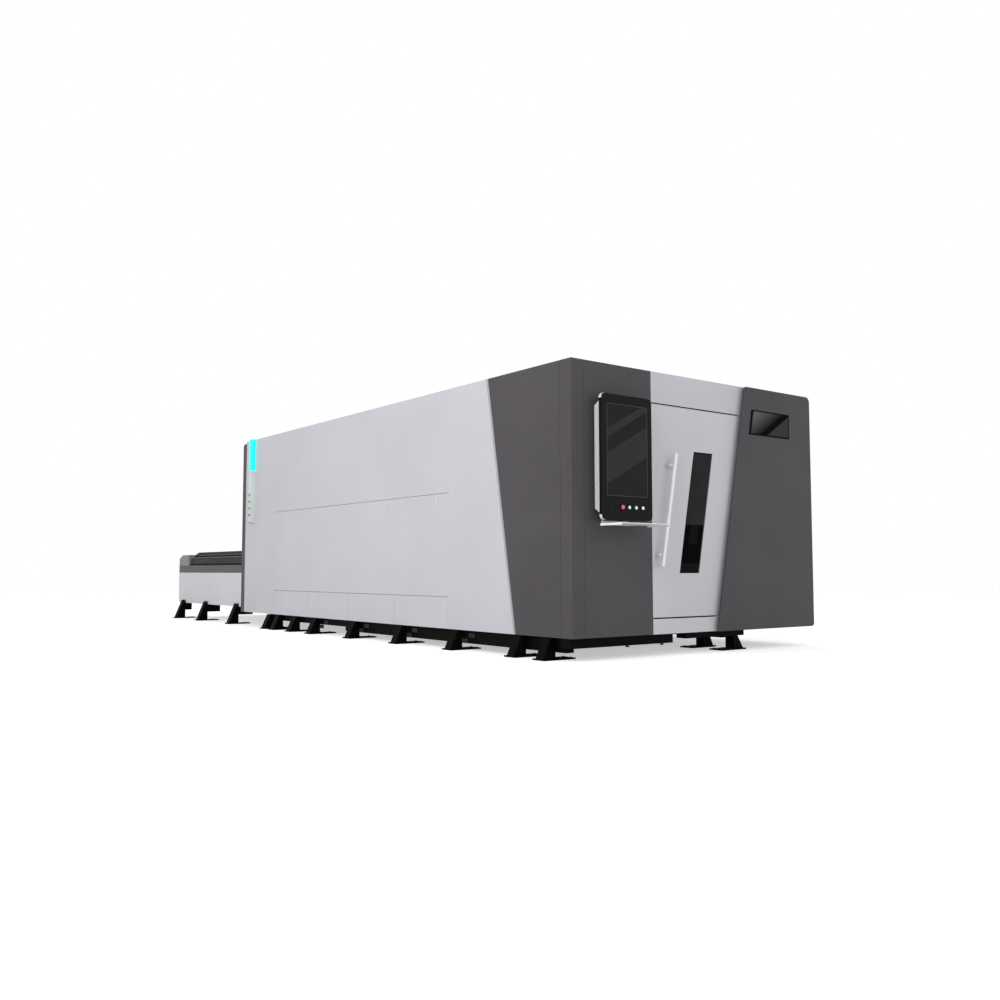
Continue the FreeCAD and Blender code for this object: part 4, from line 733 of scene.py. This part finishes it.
def window_pieces():
    """Pane over the rebate of the upper window, leaving a narrow black border."""
    low, high = corners("high_window_frame")
    lean = SLANT * (high.z - low.z)
    foot, top, right = low.z + WINDOW_EDGE, high.z - WINDOW_EDGE, high.x - WINDOW_RIGHT
    outline = [(low.x + WINDOW_LEFT, foot), (right, foot), (right, top),
               (low.x + lean + WINDOW_LEFT, top)]
    bm = bmesh.new()
    slab(bm, outline, "front", WINDOW_FACE - 1.2, WINDOW_FACE)
    piece("high_window_pane", bm, "machine", HIGH_GLASS_REFLECTION, smooth=False)


def brush_pieces():
    """Black brush strips that close the slots under and over the door and paint the shadow in
    those gaps.
    """
    bm = bmesh.new()
    slab(bm, rectangle(846, 1572, 289.5, 298.6), "front", -1.0, 2.4)
    slab(bm, rectangle(846, 1898, 1993.4, 2000.5), "front", -1.0, 2.4)
    piece("door_brush_strips", bm, "machine", RUBBER, smooth=False)


def bead_pieces():
    """Seam beads by the corner post and the service cover, and a mid-grey strip along the wedge
    that paints the shade of its folded edge.
    """
    bm = bmesh.new()
    for plane in ("front", "side"):
        slab(bm, rectangle(BEAD_LEFT, BEAD_RIGHT, SKIRT_Z, ROOF_Z), plane, 1.6, 6.0)
    piece("post_seam_beads", bm, "machine", DARK_BEAD, smooth=False)
    bm = bmesh.new()
    for y in COVER_SEAMS:
        slab(bm, rectangle(y - 1.2, y + 1.2, 448, 1339), "side", 0.8, 5.0)
    piece("cover_seam_beads", bm, "machine", LIGHT_BEAD, smooth=False)
    # Painted shade: a mid-grey strip where the light panel folds into the dark wedge.
    bm = bmesh.new()
    slab(bm, WEDGE_SHADE_STRIP, "side", -1.2, 0.3)
    piece("wedge_edge_trim", bm, "machine", WEDGE_FOLD_SHADE, smooth=False, soften=0.4)


# ---------------------------------------------------------------- left side

PULLS = (1781, 2672, 3204, 3561, 4461)
PULL_FOOT, PULL_TOP = 1232, 1304
LOCK_PLATE = (2303, 2333, 1067, 1097)
STRIP_BUTTONS = ("light_stop_button", "load_button", "swap_button", "lift_button")


def cover_pieces():
    """Slim pulls and a lock plate on the service cover."""
    bm = bmesh.new()
    for y in PULLS:
        slab(bm, round_box(y - 5, y + 5, PULL_FOOT, PULL_TOP, 4.9), "side", -7.0, 0.4)
    piece("cover_pulls", bm, "machine", PALE_TRIM, soften=0.9)
    bm = bmesh.new()
    slab(bm, round_box(*LOCK_PLATE, 4), "side", -1.6, 0.4)
    piece("cover_lock_plate", bm, "machine", LOOKS["light_paint"], soften=0.5)


def strip_pieces():
    """Caps on the buttons of the status strip, and a dark dash at its foot that paints a shadow
    line.
    """
    for name in STRIP_BUTTONS:
        if name == "light_stop_button":
            slot_name, look = "red_plastic", STRIP_RED
        else:
            slot_name, look = "green_plastic", STRIP_GREEN
        low, high = corners(name)
        outline = round_box(low.y - 3, high.y + 3, low.z - 3, high.z + 3, 5)
        bm = bmesh.new()
        slab(bm, outline, "side", low.x - 3.0, low.x + 0.4)
        piece(name + "_cap", bm, name, look, soften=1.0)
    # A dark dash under the housing: painted shadow line.
    low, high = corners("strip_housing")
    outline = round_box(low.y + 18, high.y - 18, low.z + 3, low.z + 9, 2.9)
    bm = bmesh.new()
    slab(bm, outline, "side", low.x - 0.8, low.x + 0.3)
    piece("strip_dash", bm, "machine", DARK_TRIM, soften=0.2)


# --------------------------------------------------------------- underneath

PLATE_TOP = 12.0                    # top of the feet's floor plates
PLATE_BOLTS = (((96, 206), LEFT_FEET), ((1834, 1724), RIGHT_FEET), ((216, 250), TABLE_FEET),
               ((1714, 1680), TABLE_FEET))
TABLE_SIDES = (104, 1826)
TABLE_BOLT_Z = 240
KEEL_FACE = 43.0
FOOT_BRACKETS = ((-232, 127), (-130, 79))       # from the foot, and the mid height
BRACKET_LENGTH, BRACKET_HEIGHT = 84, 36
LEVELLING_SCREW = ((8.0, 0.0), (8.0, -6.0), (17.0, -7.0), (17.0, -13.0), (14.0, -14.5),
                   (0.0, -14.5))


def hex_bolt(bm, centre, axis, size):
    """A hexagon head on a washer of this radius, standing along the axis."""
    turned(bm, ((size, 0.0), (size, 1.6), (0.92 * size, 2.0), (0.0, 2.0)), centre, axis, 20)
    shoulder, top = 0.55 * size + 1.2, 0.65 * size + 1.4
    head = ((0.86 * size, 1.8), (0.86 * size, shoulder), (0.72 * size, top), (0.0, top))
    turned(bm, head, centre, axis, 6)


def foot_pieces():
    """Bolts through every foot plate, brackets beside the feet, levelling screws."""
    bm = bmesh.new()
    for columns, rows in PLATE_BOLTS:
        for y in rows:
            for x in columns:
                for side in (-44, 44):
                    hex_bolt(bm, (x, y + side, PLATE_TOP), UP, 7.5)
    for y in TABLE_FEET:
        for x in TABLE_SIDES:
            for side in (-1, 1):
                hex_bolt(bm, (x, y + side * 45, TABLE_BOLT_Z), (0, side, 0), 10)
    piece("foot_bolts", bm, "machine", BLACK_STEEL, smooth=False)
    bm = bmesh.new()
    for y in LEFT_FEET[2:6]:
        for shift, z in FOOT_BRACKETS:
            begin, half = y + shift, BRACKET_HEIGHT / 2
            outline = round_box(begin, begin + BRACKET_LENGTH, z - half, z + half, 5)
            slab(bm, outline, "side", KEEL_FACE, KEEL_FACE + 7.2)
            hex_bolt(bm, (KEEL_FACE, begin + BRACKET_LENGTH / 2, z), LEFT, 9)
    piece("foot_brackets", bm, "machine", BRACKET, smooth=False, soften=0.4)
    bm = bmesh.new()
    for x in (620, 1000):
        turned(bm, LEVELLING_SCREW, (x, 62, 96), UP, 20)
    piece("levelling_screws", bm, "machine", BLACK_STEEL, smooth=False)


# -------------------------------------------------------------------- table

TABLE_FRONT, TABLE_BACK = 6116, 8228
CHANNEL_FOOT, CHANNEL_TOP = 740.2, 751.6
END_BAR = 5.5                       # thickness of the bars along the slats' ends


def channel_pieces():
    """Black rubber strips that fill the gaps under the channels beside the pallets and paint their
    shade, and lighter strips on the channels' edges: rubbed steel with a painted edge highlight.
    """
    bm = bmesh.new()
    # Black strips in the gap under each channel: painted shade of the gap.
    for x, lip in ((121, 121), (1783, 1806.2)):
        slab(bm, rectangle(x, x + 26, TABLE_FRONT, TABLE_BACK), "floor", CHANNEL_FOOT, CHANNEL_TOP)
        slab(bm, rectangle(lip, lip + 2.8, TABLE_FRONT, TABLE_BACK), "floor", CHANNEL_TOP, 761.0)
    piece("channel_strips", bm, "machine", RUBBER, smooth=False)
    bm = bmesh.new()
    for x in (123.0, 1805.8):
        slab(bm, rectangle(x, x + 1.2, TABLE_FRONT, TABLE_BACK + 2), "floor", 842.0, 850.6)
    piece("channel_edges", bm, "machine", EDGE_WEAR_AND_HIGHLIGHT, smooth=False)


def pallet_pieces():
    """Lighter edges of the pallets, rubbed steel with a painted edge highlight, and the slim bars
    along their slats' ends.
    """
    for name in ("upper_pallet", "lower_pallet"):
        low, high = corners(name + "_frame")
        bm = bmesh.new()
        for x in (low.x - 0.8, high.x - 0.4):
            slab(bm, rectangle(x, x + 1.2, low.y + 2, high.y - 2), "floor", high.z - 8.0,
                 high.z - 0.5)
        piece(name + "_edges", bm, name, EDGE_WEAR_AND_HIGHLIGHT, smooth=False)
        low, high = corners(name + "_slats")
        foot, shoulder, top = high.z - 66.0, high.z - 39.0, high.z - 0.5
        outline = [(low.y - 20, foot), (high.y + 20, foot), (high.y + 20, shoulder),
                   (high.y - 150, top), (low.y + 150, top), (low.y - 20, shoulder)]
        bm = bmesh.new()
        for x in (low.x - 5.0, high.x - 0.5):
            slab(bm, outline, "side", x, x + END_BAR)
        piece(name + "_end_bars", bm, name, LOOKS["pallet_paint"],
              smooth=False, soften=0.6)


# ------------------------------------------------- right side, roof and rear

RIGHT_FACE = 2867
RIGHT_DOORS = ((620, 800), (1800, 850))         # where each door begins, and its width
DOOR_FOOT, DOOR_TOP = 230.3, 2029.7
LOUVRE_FOOT, LOUVRE_PITCH, LOUVRE_HALF = 530, 40, 159
ROOF_FACE = 2245
STRAPS = (1242, 2442, 3642, 4842)
STRAP_RIVET = ((7.0, 0.0), (6.0, 1.2), (3.0, 1.9), (0.0, 2.0))
FAN_X, FAN_Y = 2300, 4250
FAN_PLATE = ((215.0, 0.0), (215.0, 2.4), (212.0, 3.2), (172.0, 3.2), (168.0, 2.2), (0.0, 2.2))
FAN_RIVET = ((6.0, 0.0), (5.2, 1.0), (0.0, 1.7))
LIFTING_PLATE = ((52.0, 0.0), (52.0, 2.4), (49.0, 3.6), (17.0, 3.6), (15.0, 1.0), (0.0, 1.0))
PORTAL_FACE = 6111
PORTAL_SCREW = ((8.0, 0.0), (7.0, 1.6), (3.5, 2.6), (0.0, 2.8))


def right_side_pieces():
    """Rubber in the door seams and the louvres of the right side."""
    bm = bmesh.new()
    for begin, width in RIGHT_DOORS:
        ring = rectangle(begin + 0.3, begin + width - 0.3, DOOR_FOOT, DOOR_TOP)
        frame_ring(bm, ring, inset(ring, 2.4), "side", RIGHT_FACE - 2.0, RIGHT_FACE - 0.6)
        middle = begin + width / 2
        for row in range(8):
            z = LOUVRE_FOOT + LOUVRE_PITCH * row
            slot = rectangle(middle - LOUVRE_HALF, middle + LOUVRE_HALF, z + 0.5, z + 13.5)
            slab(bm, slot, "side", RIGHT_FACE - 2.0, RIGHT_FACE - 0.8)
    piece("right_door_seals", bm, "machine", RUBBER, smooth=False)


def roof_pieces():
    """Riveted straps over the roof's joints, a fan plate and four lifting plates."""
    bm = bmesh.new()
    for y in STRAPS:
        slab(bm, rectangle(60, 2740, y - 26, y + 26), "floor", ROOF_FACE - 0.2, ROOF_FACE + 1.6)
        for i in range(10):
            turned(bm, STRAP_RIVET, (150 + 272 * i, y, ROOF_FACE + 1.5), UP, 12)
    turned(bm, FAN_PLATE, (FAN_X, FAN_Y, ROOF_FACE - 0.1), UP, 64)
    piece("roof_straps", bm, "machine", LOOKS["light_paint"], smooth=False,
          soften=0.4)
    bm = bmesh.new()
    for i in range(12):
        turn = 2 * math.pi * i / 12
        x, y = FAN_X + 192 * math.cos(turn), FAN_Y + 192 * math.sin(turn)
        turned(bm, FAN_RIVET, (x, y, ROOF_FACE + 2.9), UP, 12)
    for x in (300, 2500):
        for y in (700, 5400):
            turned(bm, LIFTING_PLATE, (x, y, ROOF_FACE - 0.1), UP, 40)
    piece("lifting_plates", bm, "machine", ZINC, smooth=False, soften=0.3)


def portal_pieces():
    """Screws round the rear portal."""
    bm = bmesh.new()
    for x in range(180, 2700, 360):
        turned(bm, PORTAL_SCREW, (x, PORTAL_FACE, 2190), BACK, 14)
    for z in range(260, 2100, 300):
        for x in (52, 2815):
            turned(bm, PORTAL_SCREW, (x, PORTAL_FACE, z), BACK, 14)
    piece("portal_screws", bm, "machine", ZINC, smooth=False)


# ------------------------------------------------- cabinet and laser source

CABINET_PANELS = ((640, 1012, 250, 2010), (1028, 1400, 250, 2010), (1820, 2630, 250, 700),
                  (1820, 2630, 730, 1210))
FINE_LOUVRES = ((710, 942, 420, 700), (1098, 1330, 420, 700), (2270, 2560, 330, 640))
GRILLE_Y, GRILLE_Z, GRILLE_RADIUS, GRILLE_PITCH = 2040, 470, 79.0, 22
GRILLE_RING = ((92, -0.5), (92, 5.0), (88, 7.0), (80, 7.0), (78, 5.0), (78, -0.5))
HANDLE_POST = ((7.0, -0.5), (7.0, 23.0))
CABINET_SCREW = ((7.0, -0.5), (7.0, 1.8), (5.0, 3.0), (0.0, 3.2))


def louvres_and_grille(face):
    """Door seams, louvres and the fan's grille, all dark."""
    bm = bmesh.new()
    for panel in CABINET_PANELS:
        ring = rectangle(*panel)
        frame_ring(bm, ring, inset(ring, 3.0), "side", face - 0.8, face + 0.5)
    for left, right, foot, top in FINE_LOUVRES:
        for z in range(foot, top, 28):
            slab(bm, round_box(left, right, z, z + 11, 5.4, 4), "side", face - 1.6, face + 0.5)
    turned(bm, GRILLE_RING, (face, GRILLE_Y, GRILLE_Z), LEFT, 40, ring=True)
    for i in range(-3, 4):
        rise = GRILLE_PITCH * i
        reach = math.sqrt(GRILLE_RADIUS ** 2 - rise ** 2)
        bar = rectangle(GRILLE_Y - reach, GRILLE_Y + reach, GRILLE_Z - 2 + rise,
                        GRILLE_Z + 2 + rise)
        slab(bm, bar, "side", face - 4.0, face - 1.0)
    piece("cabinet_seams_and_louvres", bm, "machine", DARK_TRIM, smooth=False)


def pulls_and_hinges(face):
    """The cabinet's pulls and hinges, the laser source's two handles and its screws."""
    bm = bmesh.new()
    for y in (988, 1052):
        slab(bm, round_box(y - 9, y + 9, 1060, 1240, 8.5, 5), "side", face - 12.0, face + 0.5)
    for y in (1870, 2560):
        slab(bm, round_box(y - 8, y + 8, 850, 1090, 7.5, 5), "side", face - 34.0, face - 22.0)
        for z in (858, 1082):
            turned(bm, HANDLE_POST, (face, y, z), LEFT, 16)
    piece("cabinet_pulls", bm, "machine", LOOKS["cast_alloy"], smooth=False,
          soften=0.6)
    bm = bmesh.new()
    for y in (638, 1390):
        for z in (330, 1130, 1930):
            slab(bm, round_box(y, y + 12, z - 40, z + 40, 5.5, 4), "side", face - 7.0, face + 0.5)
    for y in (1840, 2610):
        for z in (270, 680, 750, 1190):
            turned(bm, CABINET_SCREW, (face, y, z), LEFT, 14)
    piece("cabinet_hinges_and_screws", bm, "machine", ZINC, smooth=False,
          soften=0.3)


def cabinet_pieces():
    """The doors' and panels' fittings; the cabinet and the source share one face."""
    low, _ = corners("control_cabinet")
    louvres_and_grille(low.x)
    pulls_and_hinges(low.x)


console_pieces()
door_glass_edges()
handle_pieces()
window_pieces()
brush_pieces()
bead_pieces()
cover_pieces()
strip_pieces()
foot_pieces()
channel_pieces()
pallet_pieces()
right_side_pieces()
roof_pieces()
portal_pieces()
cabinet_pieces()

# --------------------------------------------------------- stage and lights

EYE = Vector((-6.13209, -9.51687, 0.67279))
YAW, PITCH, ROLL = 0.65133, 0.07192, 0.00054
SENSOR, LENS = 36.0, 35.027
# Place, target, width, height and watts.
LAMPS = {
    "left_softbox": ((-9.5, -3.4, 4.4), (-1.4, -0.9, 1.1), 11.0, 6.0, 498.0),
    "front_softbox": ((-0.8, -13.5, 3.2), (0.0, -4.0, 0.9), 14.0, 6.0, 306.0),
    "back_softbox": ((8.5, 9.0, 6.0), (0.5, 1.5, 1.0), 9.0, 6.0, 420.0),
}


def seen_directly(tree):
    """1 for what the camera sees directly, in gloss or through glass."""
    rays = add(tree, "LightPath").outputs
    bent = calc(tree, "MAXIMUM", rays["Is Glossy Ray"], rays["Is Transmission Ray"])
    return calc(tree, "MAXIMUM", rays["Is Camera Ray"], bent)


def white_world():
    """White for the camera, in gloss and through glass, soft pale light elsewhere."""
    world = bpy.data.worlds.new("studio_white")
    bpy.context.scene.world = world
    world.use_nodes = True
    tree = world.node_tree
    tree.nodes.clear()
    seen = seen_directly(tree)
    ambient = add(tree, "Background", Color=(0.985, 0.983, 0.995, 1.0), Strength=0.62)
    white = add(tree, "Background", Color=(1.0, 1.0, 1.0, 1.0), Strength=1.0)
    mixed = add(tree, "MixShader", Fac=seen)
    tree.links.new(ambient.outputs[0], mixed.inputs[1])
    tree.links.new(white.outputs[0], mixed.inputs[2])
    out = add(tree, "OutputWorld")
    tree.links.new(mixed.outputs[0], out.inputs["Surface"])


def studio_floor():
    """A wide pale floor that keeps the object's shadow."""
    bm = bmesh.new()
    bmesh.ops.create_grid(bm, x_segments=2, y_segments=2, size=120.0)
    mesh = mesh_of("studio_floor", bm)
    floor = placed("studio_floor", mesh)
    floor.location.z = -0.0005
    material, tree, where, _ = start("pale_floor")
    grain = noise(tree, where, 0.8, 3.0)
    base = tint(tree, grain, rgb("ebebec"), rgb("eeeeef"))
    glow = times(tree, seen_directly(tree), 0.57)
    close(material, tree, grain, 0.02, 0.001, Base_Color=base, Roughness=0.9,
          Specular_IOR_Level=0.0, Emission_Color=base, Emission_Strength=glow)
    mesh.materials.append(material)


def lamp(name, place, target, width, height, watts):
    """A rectangular lamp that faces its target."""
    data = bpy.data.lights.new(name, "AREA")
    data.shape = "RECTANGLE"
    data.size = width
    data.size_y = height
    data.energy = watts
    made = placed(name, data)
    made.location = place
    made.rotation_euler = (Vector(target) - Vector(place)).to_track_quat("-Z", "Y").to_euler()


def camera():
    """The photograph's viewpoint: a low eye at the near corner, looking slightly up."""
    ahead = Vector((math.sin(YAW) * math.cos(PITCH), math.cos(YAW) * math.cos(PITCH),
                    math.sin(PITCH)))
    right = Vector((math.cos(YAW), -math.sin(YAW), 0.0))
    up = right.cross(ahead)
    turn = Matrix.Rotation(ROLL, 3, ahead)
    right, up = turn @ right, turn @ up
    basis = Matrix((right, up, -ahead)).transposed().to_4x4()
    data = bpy.data.cameras.new("camera")
    data.sensor_width = SENSOR
    data.lens = LENS
    data.clip_end = 500.0
    made = placed("camera", data)
    made.matrix_world = Matrix.Translation(EYE) @ basis
    bpy.context.scene.camera = made


white_world()
studio_floor()
for lamp_name, settings in LAMPS.items():
    lamp(lamp_name, *settings)
camera()
bpy.context.scene.view_settings.view_transform = "Standard"
